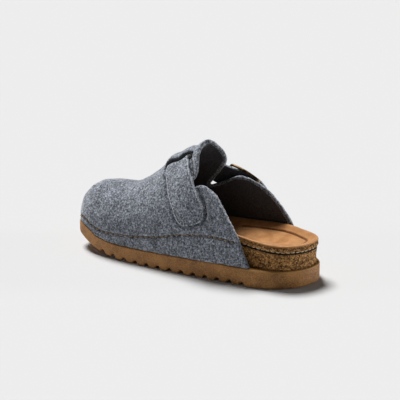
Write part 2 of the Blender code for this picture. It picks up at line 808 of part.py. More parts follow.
def build_buckle(ribbon):
    length, width, corner, wire = BUCKLE_LENGTH, BUCKLE_WIDTH, BUCKLE_CORNER, BUCKLE_WIRE / 2
    high = STRAP_CLEAR + STRAP_THICK + GAP + wire
    low = STRAP_CLEAR + wire

    def frame_point(run, sideways):
        lift = blend(high, low, smooth_step(-length / 2, length / 2, run))
        return ribbon.point(BUCKLE_AT + run, sideways, lift)

    corners = [(1, 1, 0), (-1, 1, 90), (-1, -1, 180), (1, -1, 270)]
    outline = []
    for run_sign, side_sign, start in corners:
        for k in range(4):
            angle = math.radians(start + 30 * k)
            run = run_sign * (length / 2 - corner) + corner * math.cos(angle)
            sideways = side_sign * (width / 2 - corner) + corner * math.sin(angle)
            outline.append((run, sideways))
    points = []
    for (run, sideways), (next_run, next_sideways) in zip(outline, outline[1:] + outline[:1]):
        pieces = max(1, round(math.hypot(next_run - run, next_sideways - sideways) / BUCKLE_STEP))
        for k in range(pieces):
            f = k / pieces
            points.append(frame_point(blend(run, next_run, f), blend(sideways, next_sideways, f)))
    tube("buckle_frame", points, wire, "bronze", True)
    bends = smooth_line([(bend.run, bend.lift) for bend in PIN_BENDS], 3)
    pin = [ribbon.point(BUCKLE_AT + run, 0.0, lift) for run, lift in bends]
    tube("buckle_pin", pin, PIN_WIRE / 2, "bronze", False)
    start = BUCKLE_AT + length / 2 + wire + GAP
    places = spaced(start, start + TAB_LENGTH, TAB_ROWS) + [start + TAB_LENGTH]
    rows = [(place, TAB_WIDTH / 2, lambda run, sideways: STRAP_CLEAR) for place in places]
    strip("buckle_tab", ribbon, rows, TAB_THICK, "felt")


def make_materials():
    for name, (colour, roughness, metallic) in MATERIALS.items():
        material = bpy.data.materials.new(name)
        material.use_nodes = True
        shader = material.node_tree.nodes["Principled BSDF"]
        shader.inputs["Base Color"].default_value = (*colour, 1.0)
        shader.inputs["Roughness"].default_value = roughness
        shader.inputs["Metallic"].default_value = metallic


def main():
    for obj in list(bpy.data.objects):
        bpy.data.objects.remove(obj)
    make_materials()
    build_outsole()
    build_footbed()
    build_insole()
    build_upper()
    course = [(girth_at(row.side, row.along, row.height), row.along, row.width) for row in STRAP_COURSE]
    ribbon = Ribbon(course)
    build_strap(ribbon)
    build_buckle(ribbon)


main()
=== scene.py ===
"""Looks of a felt clog for the right foot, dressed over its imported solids.

Each piece repeats the sizes of the part at a finer step and adds softness, stitches and surfaces. Lengths are
millimetres in the shoe's own measure: x from the long axis of the heel (minus is the inner side of the foot),
along from the back of the heel to the toe, z up from the floor.
"""

import logging
import math
from dataclasses import dataclass, field
from enum import Enum, IntEnum
from typing import Callable, Optional, Sequence, Union

import bmesh
import bpy
import numpy as np
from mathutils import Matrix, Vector
from mathutils.bvhtree import BVHTree
from mathutils.kdtree import KDTree


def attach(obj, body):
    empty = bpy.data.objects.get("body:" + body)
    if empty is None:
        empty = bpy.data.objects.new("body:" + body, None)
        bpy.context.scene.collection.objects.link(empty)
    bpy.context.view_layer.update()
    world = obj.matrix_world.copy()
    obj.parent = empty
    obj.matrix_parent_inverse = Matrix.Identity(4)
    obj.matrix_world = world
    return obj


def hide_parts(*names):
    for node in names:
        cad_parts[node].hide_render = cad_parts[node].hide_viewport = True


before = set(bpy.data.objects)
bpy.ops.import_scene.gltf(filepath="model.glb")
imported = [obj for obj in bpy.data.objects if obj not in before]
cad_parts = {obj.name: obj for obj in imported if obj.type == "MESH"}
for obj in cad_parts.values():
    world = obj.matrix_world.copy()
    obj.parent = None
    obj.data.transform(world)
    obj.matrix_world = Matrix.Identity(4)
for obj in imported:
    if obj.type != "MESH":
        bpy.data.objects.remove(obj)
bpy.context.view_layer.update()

MM = 0.001
LOG = logging.getLogger("clog")

# Shortest and longest wave of an uneven surface, as shares of its size
LUMP_SPREAD = (0.7, 1.4)
# Upright part of a bar's direction above which the bar counts as upright
STEEP = 0.9
# Metres within which points are joined, and under which an edge is no edge
JOIN_WITHIN, LEAST_EDGE = 1e-6, 1e-7
# Part of the way that a point of felt is drawn towards its neighbours
SOFTEN_FACTOR = 0.5

Number = Union[float, np.ndarray]
# Points of a line, and the direction away from the surface at each of them
Line = tuple[np.ndarray, np.ndarray]


class Side(IntEnum):
    """The two long sides of a right shoe."""

    MEDIAL = -1
    LATERAL = 1


# A size by side and along, and a height over the plan by x and along
Rule = Callable[[Side, np.ndarray], Number]
SurfaceRule = Callable[[np.ndarray, np.ndarray], Number]


class Slot(Enum):
    """Material slots of the part's record."""

    FOAM = "foam_outsole"
    CORK = "cork"
    SUEDE = "suede"
    FELT = "felt"
    BRONZE = "bronze"


# Curves and small sums


class TableCurve:
    """A smooth curve through one column of a table, level at and beyond both ends."""

    def __init__(self, rows: Sequence[Sequence[float]], column: int) -> None:
        """Draws the curve.

        Args:
            rows: Rows of the table; their first column is the run.
            column: Number of the value's column.
        """
        self.xs = np.array([row[0] for row in rows], float)
        self.ys = np.array([row[column] for row in rows], float)
        self.slopes = np.zeros_like(self.xs)
        self.slopes[1:-1] = (self.ys[2:] - self.ys[:-2]) / (self.xs[2:] - self.xs[:-2])

    def __call__(self, x: Number) -> np.ndarray:
        """Value of the curve at x.

        Args:
            x: Places on the run.

        Returns:
            The values there.
        """
        x = np.clip(np.asarray(x, float), self.xs[0], self.xs[-1])
        i = np.clip(np.searchsorted(self.xs, x) - 1, 0, len(self.xs) - 2)
        span = self.xs[i + 1] - self.xs[i]
        f = (x - self.xs[i]) / span
        start = self.ys[i] * (1 + 2 * f) + self.slopes[i] * span * f
        end = self.ys[i + 1] * (3 - 2 * f) - self.slopes[i + 1] * span * (1 - f)
        return start * (1 - f) ** 2 + end * f**2


def ease(low: Number, high: Number, x: Number) -> np.ndarray:
    """0 below low, 1 above high, eased between them."""
    f = np.clip((np.asarray(x, float) - low) / (high - low), 0.0, 1.0)
    return f * f * (3 - 2 * f)


def mix(a: Number, b: Number, f: Number) -> np.ndarray:
    """The value a share f of the way from a to b."""
    return a + (b - a) * f


def unit(vectors: np.ndarray) -> np.ndarray:
    """Vectors brought to length 1."""
    return vectors / np.maximum(np.linalg.norm(vectors, axis=-1, keepdims=True), 1e-9)


def round_off(reach: Number, fullness: float) -> np.ndarray:
    """Quarter of a superellipse: 1 where it starts, 0 at its end."""
    return np.maximum(0.0, 1.0 - np.clip(reach, 0.0, 1.0) ** fullness) ** (1.0 / fullness)


def smooth_line(points: Sequence[Sequence[float]], steps: int) -> np.ndarray:
    """Points along a smooth curve through the given ones.

    Args:
        points: The points, each with any number of coordinates.
        steps: Number of points for each span.

    Returns:
        An array with a row for each point.
    """
    given = np.array(points, float)
    padded = np.vstack([given[:1], given, given[-1:]])
    f = (np.arange(steps) / steps)[:, None]
    line = []
    for before, here, there, after in zip(padded, padded[1:], padded[2:], padded[3:]):
        leave, arrive = (there - before) / 2, (after - here) / 2
        line.append(here * (1 + 2 * f) * (1 - f) ** 2 + leave * f * (1 - f) ** 2
                    + there * (3 - 2 * f) * f**2 - arrive * (1 - f) * f**2)
    return np.vstack(line + [given[-1:]])


def lumps(points: np.ndarray, size: float, seed: int, count: int = 40) -> np.ndarray:
    """Soft random unevenness, about -1 to 1.

    Args:
        points: Places in millimetres.
        size: Distance from one swelling to the next, in millimetres.
        seed: Start of the random draws.
        count: Number of waves that are added up.

    Returns:
        A value for each point.
    """
    draws = np.random.default_rng(seed)
    ways = unit(draws.normal(size=(count, 3)))
    ways = ways * draws.uniform(*LUMP_SPREAD, (count, 1)) * 2 * math.pi / size
    phases = draws.uniform(0.0, 2 * math.pi, count)
    total = np.zeros(points.shape[:-1])
    for way, phase in zip(ways, phases):
        total += np.sin(points @ way + phase)
    return total / math.sqrt(count)


def run_of(line: np.ndarray) -> np.ndarray:
    """Distance of each point of a line from its start, along the line."""
    return np.concatenate([[0.0], np.cumsum(np.linalg.norm(np.diff(line, axis=0), axis=1))])


def find_tree(points: Sequence[Sequence[float]]) -> KDTree:
    """A tree that finds the nearest of some points.

    Args:
        points: The points; each keeps its number in the row.

    Returns:
        The tree.
    """
    tree = KDTree(len(points))
    for number, point in enumerate(points):
        tree.insert(point, number)
    tree.balance()
    return tree


# Shape of the shoe


@dataclass
class Last:
    """Plan and levels of the sole, and the sections of the upper over the foot."""

    # Plan outline
    length: float = 270.0
    axis_x: float = -2.2
    heel_end: float = 54.0
    toe_start: float = 194.0
    heel_fullness: float = 1.95
    toe_fullness: float = 2.2
    heel_x: float = 7.5
    tip_x: float = -12.0
    # Toe spring, and the swell of the sole just behind the tip
    toe_spring: float = 16.8
    spring_start: float = 186.0
    hump_rise: tuple[float, float] = (232.0, 256.0)
    hump_fall: tuple[float, float] = (257.0, 270.0)
    hump_ground: float = 1.5
    hump_deck: float = 2.0
    hump_seam: float = 4.5
    # Arch, rim and foot of the upper
    arch_start: float = 6.0
    arch_full: float = 36.0
    rim_height: float = 6.5
    upper_inset: float = 0.5
    # Toe box
    toe_crest: float = 226.0
    toe_box_fullness: float = 3.4
    toe_box_fall: float = 0.85
    toe_nose: float = 10.0
    # Steps that slopes are taken over, and of the search for a girth
    probe_girth: float = 0.005
    probe_along: float = 0.5
    halvings: int = 40
    # Along, then half width on the medial and the lateral side
    breadths: tuple = (
        (54, 41.8, 37.0), (100, 43.4, 38.2), (150, 44.6, 46.0), (175, 44.2, 50.2), (194, 43.4, 50.8),
    )
    # Along, thickness of the outsole, seam, rise at the arch, floor of the footbed
    sole: tuple = (
        (0, 19.0, 37.5, 0.5, 37.0), (45, 19.0, 40.0, 0.5, 35.5), (92, 18.6, 37.6, 8.6, 34.5),
        (131, 17.9, 34.5, 7.5, 31.5), (160, 17.4, 33.5, 1.5, 28.5), (200, 16.2, 28.6, 0.0, 25.5),
        (240, 13.8, 28.6, 0.0, 26.5), (270, 12.2, 32.5, 0.0, 31.0),
    )
    # Along, ridge height, ridge x, rise of the side, breadth of the crown
    sections: tuple = (
        (20, 150.0, 0.0, 0.34, 0.36), (80, 145.0, -1.0, 0.34, 0.38), (110, 137.5, -1.0, 0.34, 0.44),
        (124, 133.8, -1.0, 0.35, 0.45), (138, 123.4, -1.5, 0.36, 0.44), (145, 117.3, -1.8, 0.37, 0.435),
        (152, 113.2, -2.0, 0.38, 0.43), (159, 110.8, -2.2, 0.39, 0.43), (166, 105.2, -2.5, 0.41, 0.43),
        (180, 92.5, -3.0, 0.45, 0.46), (195, 82.0, -3.5, 0.49, 0.51), (210, 74.2, -4.5, 0.52, 0.55),
        (226, 73.4, -5.5, 0.50, 0.57), (270, 73.4, -12.0, 0.18, 0.55),
    )

    def __post_init__(self) -> None:
        """Makes the curves of the tables."""
        self.half_width = {side: TableCurve(self.breadths, column) for side, column in zip(Side, (1, 2))}
        self.thickness, self.seam_line, self.arch_rise, self.floor = (
            TableCurve(self.sole, column) for column in (1, 2, 3, 4))
        self.ridge_height, self.ridge_x, self.rise, self.crown = (
            TableCurve(self.sections, column) for column in (1, 2, 3, 4))

    def edge_x(self, side: Side, along: Number, inset: Number = 0.0) -> np.ndarray:
        """Where the plan outline lies on one side.

        Args:
            side: Side of the shoe.
            along: Distances from the heel.
            inset: How far the outline is taken in.

        Returns:
            The x of the outline.
        """
        along, inset = np.asarray(along, float), np.asarray(inset, float)
        half = self.half_width[side]
        reach = (self.heel_end - along) / (self.heel_end - inset)
        breadth = abs(side * half(self.heel_end) - self.heel_x) - inset
        heel = self.heel_x + side * breadth * round_off(reach, self.heel_fullness)
        reach = (along - self.toe_start) / (self.length - inset - self.toe_start)
        breadth = abs(side * half(self.toe_start) - self.tip_x) - inset
        toe = self.tip_x + side * breadth * round_off(reach, self.toe_fullness)
        waist = side * (half(along) - inset)
        return np.where(along < self.heel_end, heel, np.where(along > self.toe_start, toe, waist))

    def station_along(self, station: Number, inset: Number = 0.0) -> np.ndarray:
        """Distance from the heel for a station.

        Args:
            station: Stations: 0 to 1 rounds the heel, 1 to 2 is the waist, 2 to 3 the toe.
            inset: How far the outline is taken in.

        Returns:
            Distances from the heel.
        """
        quarter = math.pi / 2
        turn = np.cos(np.clip(station, 0.0, 1.0) * quarter)
        heel = self.heel_end - (self.heel_end - inset) * np.maximum(turn, 0.0) ** (2 / self.heel_fullness)
        turn = np.sin(np.clip(np.asarray(station) - 2, 0.0, 1.0) * quarter)
        toe = self.toe_start + (self.length - inset - self.toe_start) * turn ** (2 / self.toe_fullness)
        waist = mix(self.heel_end, self.toe_start, np.asarray(station) - 1)
        return np.where(station < 1, heel, np.where(station <= 2, waist, toe))

    def ground(self, along: Number) -> np.ndarray:
        """Underside of the outsole, lifted at the toe."""
        rise = np.maximum(0.0, (np.asarray(along) - self.spring_start) / (self.length - self.spring_start))
        return self.toe_spring * rise**2 + self.hump_ground * self.hump(along)

    def hump(self, along: Number) -> np.ndarray:
        """How far along its swell the sole is just behind the tip: 1 where it is highest."""
        return ease(*self.hump_rise, along) * (1 - ease(*self.hump_fall, along))

    def deck(self, along: Number) -> np.ndarray:
        """Top of the outsole."""
        return self.ground(along) + self.thickness(along) + self.hump_deck * self.hump(along)

    def seam_height(self, side: Side, along: Number) -> np.ndarray:
        """Height of the stitched seam, raised along the arch on the medial side.

        Args:
            side: Side of the shoe.
            along: Distances from the heel.

        Returns:
            Heights of the seam.
        """
        seam = self.seam_line(along) + self.hump_seam * self.hump(along)
        if side == Side.MEDIAL:
            seam = seam + self.arch_rise(along) * ease(self.arch_start, self.arch_full, along)
        return seam

    def ridge_at(self, along: Number) -> np.ndarray:
        """Height of the ridge, rounded down to the nose at the tip of the toe.

        Args:
            along: Distances from the heel.

        Returns:
            Heights of the ridge.
        """
        nose = self.seam_height(Side.MEDIAL, self.length) + self.toe_nose
        reach = (np.asarray(along) - self.toe_crest) / (self.length - self.upper_inset - self.toe_crest)
        crest = self.ridge_height(self.toe_crest)
        left = 1 - np.clip(reach, 0.0, 1.0) ** self.toe_box_fullness
        toe = nose + (crest - nose) * left**self.toe_box_fall
        return np.where(np.asarray(along) <= self.toe_crest, self.ridge_height(along), toe)

    def section(self, side: Side, along: Number, share: Number) -> np.ndarray:
        """Point on the outer face of the upper.

        Args:
            side: Side of the shoe.
            along: Distances from the heel.
            share: Shares of the way from the seam (0) to the ridge (1).

        Returns:
            Points, as x, along and height.
        """
        along, share = np.broadcast_arrays(np.asarray(along, float), np.asarray(share, float))
        foot = self.edge_x(side, along, self.upper_inset)
        top_x, ridge = self.ridge_x(along), self.ridge_at(along)
        seam = np.minimum(self.seam_height(side, along), ridge)
        shoulder = seam + self.rise(along) * (ridge - seam)
        brow = top_x + self.crown(along) * (foot - top_x)
        a, b, c, d = (1 - share) ** 3, 3 * share * (1 - share) ** 2, 3 * share**2 * (1 - share), share**3
        x = foot * (a + b) + brow * c + top_x * d
        return np.stack([x, along, seam * a + shoulder * b + ridge * (c + d)], -1)

    def over_foot(self, girth: Number, along: Number) -> np.ndarray:
        """Outer face of the upper by girth.

        Args:
            girth: Girths: -1 at the medial seam, 0 on the ridge, 1 at the lateral seam.
            along: Distances from the heel.

        Returns:
            Points, as x, along and height.
        """
        girth, along = np.broadcast_arrays(np.asarray(girth, float), np.asarray(along, float))
        share = 1 - np.abs(girth)
        medial, lateral = (self.section(side, along, share) for side in Side)
        return np.where((girth < 0)[..., None], medial, lateral)

    def outward(self, girth: Number, along: Number) -> np.ndarray:
        """Outward normal of the upper.

        Args:
            girth: Girths, -1 to 1.
            along: Distances from the heel.

        Returns:
            Unit vectors.
        """
        girth, along = np.asarray(girth, float), np.asarray(along, float)
        low, high = np.maximum(-1.0, girth - self.probe_girth), np.minimum(1.0, girth + self.probe_girth)
        across = self.over_foot(high, along) - self.over_foot(low, along)
        behind, before = along - self.probe_along, along + self.probe_along
        ahead = self.over_foot(girth, before) - self.over_foot(girth, behind)
        return unit(np.cross(across, ahead))

    def girth_at(self, side: Side, along: float, height: float) -> float:
        """Girth at which a side of the upper reaches a height.

        Args:
            side: Side of the shoe.
            along: Distance from the heel.
            height: The height.

        Returns:
            The girth.
        """
        low, high = 0.0, 1.0
        for _ in range(self.halvings):
            middle = (low + high) / 2
            if self.section(side, along, middle)[2] < height:
                low = middle
            else:
                high = middle
        return side * (1 - low)

    def placed(self, points: np.ndarray) -> np.ndarray:
        """Shoe millimetres to metres in the part's frame."""
        return (np.asarray(points, float) + (self.axis_x, -self.length / 2, 0.0)) * MM

    def measured(self, points: np.ndarray) -> np.ndarray:
        """Metres in the part's frame to shoe millimetres."""
        return np.asarray(points, float) / MM - (self.axis_x, -self.length / 2, 0.0)


# Meshes


class Draft:
    """Grids of points in shoe millimetres, gathered into one mesh."""

    def __init__(self) -> None:
        """Starts with nothing in it."""
        self.points: list[np.ndarray] = []
        self.faces: list[list[int]] = []
        self.count = 0

    def add_grid(self, grid: np.ndarray, wrap: bool = False, skip: Optional[np.ndarray] = None) -> np.ndarray:
        """Adds a grid of points with a face in each cell.

        Args:
            grid: Points by row and column.
            wrap: Whether the last column joins the first.
            skip: True for each cell that stays open.

        Returns:
            Number of each point in the mesh.
        """
        rows, columns = grid.shape[:2]
        numbers = np.arange(rows * columns).reshape(rows, columns) + self.count
        ring = np.concatenate([numbers, numbers[:, :1]], axis=1) if wrap else numbers
        cells = np.stack([ring[:-1, :-1], ring[1:, :-1], ring[1:, 1:], ring[:-1, 1:]], axis=-1)
        self.faces += (cells.reshape(-1, 4) if skip is None else cells[~skip]).tolist()
        self.points.append(grid.reshape(-1, 3))
        self.count += rows * columns
        return numbers

    def add_tube(self, line: np.ndarray, radii: np.ndarray, sides: int, closed: bool = False) -> None:
        """Adds a round bar along a line; an open bar is capped at both ends.

        Args:
            line: Points of its middle line.
            radii: Radius at each point.
            sides: Number of flats round it.
            closed: Whether the bar is a ring.
        """
        if closed:
            ahead = np.roll(line, -1, axis=0) - np.roll(line, 1, axis=0)
        else:
            ahead = np.gradient(line, axis=0)
        ahead = unit(ahead)
        flat = np.abs(ahead[:, 2:]) < STEEP
        first = unit(np.cross(ahead, np.where(flat, (0.0, 0.0, 1.0), (1.0, 0.0, 0.0))))
        second = np.cross(ahead, first)
        turns = np.arange(sides) * 2 * math.pi / sides
        ring = first[:, None] * np.cos(turns)[:, None] + second[:, None] * np.sin(turns)[:, None]
        grid = line[:, None] + ring * np.asarray(radii)[:, None, None]
        if closed:
            self.add_grid(np.concatenate([grid, grid[:1]]), wrap=True)
            return
        numbers = self.add_grid(grid, wrap=True)
        self.faces += [numbers[0].tolist(), numbers[-1].tolist()]

    def add_prism(self, ends: Sequence[np.ndarray]) -> None:
        """Adds a closed wall between two outlines, and a face across each of them."""
        numbers = self.add_grid(np.stack(ends), wrap=True)
        self.faces += [numbers[0].tolist(), numbers[1].tolist()]

    def add_slab(self, sheets: Sequence[np.ndarray]) -> None:
        """Adds two sheets and the four edges that join them.

        Args:
            sheets: Points of the lower and the upper sheet, by row and column.
        """
        for sheet in sheets:
            self.add_grid(sheet)
        for edge in (0, -1):
            self.add_grid(np.stack([sheet[edge] for sheet in sheets]))
            self.add_grid(np.stack([sheet[:, edge] for sheet in sheets]))

    def to_object(self, name: str, last: Last) -> bpy.types.Object:
        """The mesh as an object, with points at the same place joined and faces turned outwards.

        Args:
            name: Name of the object.
            last: The shoe's shape.

        Returns:
            The object.
        """
        mesh = bpy.data.meshes.new(name)
        mesh.from_pydata(last.placed(np.vstack(self.points)).tolist(), [], self.faces)
        work = bmesh.new()
        work.from_mesh(mesh)
        bmesh.ops.remove_doubles(work, verts=work.verts, dist=JOIN_WITHIN)
        bmesh.ops.dissolve_degenerate(work, edges=work.edges, dist=LEAST_EDGE)
        bmesh.ops.recalc_face_normals(work, faces=work.faces)
        work.to_mesh(mesh)
        work.free()
        obj = bpy.data.objects.new(name, mesh)
        bpy.context.scene.collection.objects.link(obj)
        mesh.shade_smooth()
        return obj


class Skin:
    """The points of an object's mesh, in shoe millimetres."""

    def __init__(self, obj: bpy.types.Object, last: Last) -> None:
        """Reads the points and their normals.

        Args:
            obj: The object.
            last: The shoe's shape.
        """
        self.mesh, self.last = obj.data, last
        size = len(self.mesh.vertices)
        flat, normals = np.empty(size * 3), np.empty(size * 3)
        self.mesh.vertices.foreach_get("co", flat)
        self.mesh.vertex_normals.foreach_get("vector", normals)
        self.points, self.normals = last.measured(flat.reshape(-1, 3)), normals.reshape(-1, 3)

    def push(self, amount: np.ndarray) -> None:
        """Moves each point out along its normal.

        Args:
            amount: Distance for each point, in millimetres.
        """
        self.points = self.points + self.normals * amount[:, None]
        self.mesh.vertices.foreach_set("co", self.last.placed(self.points).ravel())
        self.mesh.update()


def bake(obj: bpy.types.Object) -> None:
    """Turns an object's modifiers into its mesh.

    Args:
        obj: The object; its modifiers are used up.
    """
    graph = bpy.context.evaluated_depsgraph_get()
    made = bpy.data.meshes.new_from_object(obj.evaluated_get(graph))
    obj.modifiers.clear()
    plain, obj.data = obj.data, made
    bpy.data.meshes.remove(plain)
    made.shade_smooth()


def carve(obj: bpy.types.Object, cutters: Sequence[bpy.types.Object]) -> None:
    """Cuts the cutters out of an object and takes them away.

    Args:
        obj: The object that is cut.
        cutters: Closed meshes.
    """
    for cutter in cutters:
        modifier = obj.modifiers.new(cutter.name, "BOOLEAN")
        modifier.operation, modifier.solver, modifier.object = "DIFFERENCE", "MANIFOLD", cutter
    bake(obj)
    for cutter in cutters:
        bpy.data.objects.remove(cutter)


def felted(obj: bpy.types.Object, cell: float, passes: int) -> None:
    """Rebuilds a solid from even cells and softens its edges.

    Args:
        obj: The solid.
        cell: Size of a cell in millimetres.
        passes: Number of times that the points are drawn together.
    """
    remesh = obj.modifiers.new("even cells", "REMESH")
    remesh.mode, remesh.voxel_size, remesh.adaptivity = "VOXEL", cell * MM, 0.0
    soften = obj.modifiers.new("soft edges", "SMOOTH")
    soften.factor, soften.iterations = SOFTEN_FACTOR, passes
    bake(obj)


# Finishes


def colour(code: str) -> tuple[float, float, float, float]:
    """A linear colour from an sRGB hex code.

    Args:
        code: The code, such as #a9afba.

    Returns:
        Red, green, blue and full opacity.
    """
    parts = [int(code[i:i + 2], 16) / 255 for i in (1, 3, 5)]
    linear = [p / 12.92 if p <= 0.04045 else ((p + 0.055) / 1.055) ** 2.4 for p in parts]
    return (*linear, 1.0)


def per_metre(size: float) -> float:
    """Texture scale that gives a pattern of about this size, in millimetres."""
    return 1.0 / (size * MM)


Tree = bpy.types.NodeTree
Socket = bpy.types.NodeSocket


def add_node(
        tree: Tree, kind: str, settings: Optional[dict] = None,
        links: Optional[dict] = None) -> bpy.types.Node:
    """Adds a shader node.

    Args:
        tree: The material's node tree.
        kind: Type of the node, without its ShaderNode prefix.
        settings: Properties by lower-case name, and input values by name or number. "ramp" is a list of
            positions and hex colours.
        links: Output sockets by the name or number of the input that they feed.

    Returns:
        The node.
    """
    node = tree.nodes.new("ShaderNode" + kind)
    for key, value in (settings or {}).items():
        if key == "ramp":
            stops = node.color_ramp.elements
            for number, (position, code) in enumerate(value):
                stop = stops[number] if number < 2 else stops.new(position)
                stop.position, stop.color = position, colour(code)
        elif isinstance(key, str) and key.islower():
            setattr(node, key, value)
        else:
            node.inputs[key].default_value = value
    for key, source in (links or {}).items():
        tree.links.new(source, node.inputs[key])
    return node


def new_material(name: str, **surface: object) -> tuple[bpy.types.Material, Tree, bpy.types.Node, Socket]:
    """A material with a plain surface, ready for its pattern.

    Args:
        name: Name of the material.
        surface: Values of the surface's inputs; an underscore stands for a space.

    Returns:
        The material, its node tree, its surface node and the socket of the object's own coordinates.
    """
    material = bpy.data.materials.new(name)
    material.use_nodes = True
    tree = material.node_tree
    shader = tree.nodes["Principled BSDF"]
    for key, value in surface.items():
        shader.inputs[key.replace("_", " ")].default_value = value
    return material, tree, shader, add_node(tree, "TexCoord").outputs["Object"]


def bumped(tree: Tree, shader: bpy.types.Node, height: Socket, depth: float) -> None:
    """Gives a surface a relief of some depth in millimetres."""
    bump = add_node(tree, "Bump", {"Strength": 1.0, "Distance": depth * MM}, {"Height": height})
    tree.links.new(bump.outputs["Normal"], shader.inputs["Normal"])


def noise(tree: Tree, place: Socket, size: float, **settings: float) -> Socket:
    """Soft noise with swellings of about a size in millimetres.

    Args:
        tree: The material's node tree.
        place: The object's own coordinates.
        size: Size of a swelling.
        settings: Values of the node's other inputs.

    Returns:
        The socket of its tone, 0 to 1.
    """
    inputs = {"Scale": per_metre(size), **settings}
    return add_node(tree, "TexNoise", inputs, {"Vector": place}).outputs["Fac"]


def blended(tree: Tree, first: Socket, second: Socket, share: float) -> Socket:
    """Two tones laid together, with a share of the second."""
    return add_node(tree, "Mix", {0: share}, {2: first, 3: second}).outputs[0]


def toned(
        tree: Tree, shader: bpy.types.Node, tone: Socket, stops: Sequence[float],
        codes: Sequence[str]) -> None:
    """Colours a surface by a tone, from the first stop's hex code to the last one's."""
    ramp = add_node(tree, "ValToRGB", {"ramp": list(zip(stops, codes))}, {"Fac": tone})
    tree.links.new(ramp.outputs["Color"], shader.inputs["Base Color"])


@dataclass(frozen=True)
class WoolFelt:
    """Pressed wool felt: dyed and undyed fibres carded together and fulled into one mat."""

    name: str = "wool felt, carded grey and pressed"
    deep: str = "#33363b"
    dark: str = "#575b62"
    mid: str = "#787d86"
    pale: str = "#a9afba"
    stops: tuple[float, ...] = (0.36, 0.46, 0.54, 0.66)
    fleck: float = 1.9
    fibre: float = 0.9
    cloud: float = 11.0
    fibre_share: float = 0.3
    cloud_share: float = 0.12
    relief: float = 0.5

    def material(self) -> bpy.types.Material:
        """Flecks of dark and pale fibre, drawn about twice their real size so that they show in the picture.

        Returns:
            The material.
        """
        material, tree, shader, place = new_material(
            self.name, Roughness=1.0, IOR=1.5, Specular_IOR_Level=0.15, Sheen_Weight=0.35,
            Sheen_Roughness=0.5)
        flecks = noise(tree, place, self.fleck, Detail=1.0, Roughness=0.6, Distortion=0.6)
        fibres = noise(tree, place, self.fibre, Detail=1.0, Roughness=0.6, Distortion=0.4)
        clouds = noise(tree, place, self.cloud, Detail=2.0, Roughness=0.6)
        mat = blended(tree, flecks, fibres, self.fibre_share)
        clouded = blended(tree, mat, clouds, self.cloud_share)
        toned(tree, shader, clouded, self.stops, (self.deep, self.dark, self.mid, self.pale))
        bumped(tree, shader, mat, self.relief)
        return material


@dataclass(frozen=True)
class FeltLining:
    """Felt dyed dark on the inner face: no flecks show, only a soft nap."""

    name: str = "wool felt, dark inner face, also laid as painted shade"
    dark: str = "#313133"
    light: str = "#454548"
    stops: tuple[float, float] = (0.35, 0.65)
    fibre: float = 1.6
    relief: float = 0.5

    def material(self) -> bpy.types.Material:
        """A near-black matt nap that swallows light deep in the shoe.

        Returns:
            The material.
        """
        material, tree, shader, place = new_material(
            self.name, Roughness=1.0, Specular_IOR_Level=0.1, Sheen_Weight=0.15)
        nap = noise(tree, place, self.fibre, Detail=3.0)
        toned(tree, shader, nap, self.stops, (self.dark, self.light))
        bumped(tree, shader, nap, self.relief)
        return material


@dataclass(frozen=True)
class MouldedFoam:
    """Closed-cell foam rubber, moulded: a fine matt grain with a dull shine."""

    name: str = "foam rubber, moulded with a fine grain"
    dark: str = "#70491f"
    light: str = "#ae7b41"
    stops: tuple[float, float] = (0.36, 0.64)
    grain: float = 1.3
    patch: float = 14.0
    grain_share: float = 0.6
    relief: float = 0.12

    def material(self) -> bpy.types.Material:
        """Brown with faint paler patches; the grain keeps its highlights broad.

        Returns:
            The material.
        """
        material, tree, shader, place = new_material(
            self.name, Roughness=0.62, IOR=1.5, Specular_IOR_Level=0.4)
        patch, grain = noise(tree, place, self.patch, Detail=3.0), noise(tree, place, self.grain, Detail=2.0)
        mottled = blended(tree, patch, grain, self.grain_share)
        toned(tree, shader, mottled, self.stops, (self.dark, self.light))
        bumped(tree, shader, grain, self.relief)
        return material


@dataclass(frozen=True)
class PressedCork:
    """Cork granules pressed with a binder, sanded on the side and sealed."""

    name: str = "cork granules, pressed, sanded and sealed"
    bark: str = "#1d1207"
    dark: str = "#5e3f1e"
    mid: str = "#8a6131"
    pale: str = "#c0915a"
    stops: tuple[float, ...] = (0.22, 0.34, 0.52, 0.78)
    granule: float = 1.4
    crumb: float = 0.9
    crumb_share: float = 0.5
    relief: float = 0.35

    def material(self) -> bpy.types.Material:
        """Granules of uneven brown with dark bark specks between them.

        Returns:
            The material.
        """
        material, tree, shader, place = new_material(
            self.name, Roughness=0.8, IOR=1.45, Specular_IOR_Level=0.3)
        cells = add_node(
            tree, "TexVoronoi", {"Scale": per_metre(self.granule), "Randomness": 1.0}, {"Vector": place})
        granules = add_node(tree, "SeparateColor", {}, {"Color": cells.outputs["Color"]}).outputs["Red"]
        crumbs = noise(tree, place, self.crumb, Detail=2.0, Roughness=0.7)
        pressed = blended(tree, granules, crumbs, self.crumb_share)
        toned(tree, shader, pressed, self.stops, (self.bark, self.dark, self.mid, self.pale))
        bumped(tree, shader, pressed, self.relief)
        return material


@dataclass(frozen=True)
class BrushedSuede:
    """Split leather, brushed: a short nap that turns paler where it is stroked."""

    name: str = "suede, split leather with a brushed nap"
    dark: str = "#94663e"
    light: str = "#b08154"
    stops: tuple[float, float] = (0.36, 0.64)
    stroke: float = 9.0
    nap: float = 0.8
    nap_share: float = 0.35
    relief: float = 0.14

    def material(self) -> bpy.types.Material:
        """Warm tan with soft cloudy strokes and a velvety edge.

        Returns:
            The material.
        """
        material, tree, shader, place = new_material(
            self.name, Roughness=0.95, IOR=1.45, Specular_IOR_Level=0.15, Sheen_Weight=0.25,
            Sheen_Roughness=0.4)
        stroke, nap = noise(tree, place, self.stroke, Detail=4.0), noise(tree, place, self.nap, Detail=2.0)
        brushed = blended(tree, stroke, nap, self.nap_share)
        toned(tree, shader, brushed, self.stops, (self.dark, self.light))
        bumped(tree, shader, nap, self.relief)
        return material


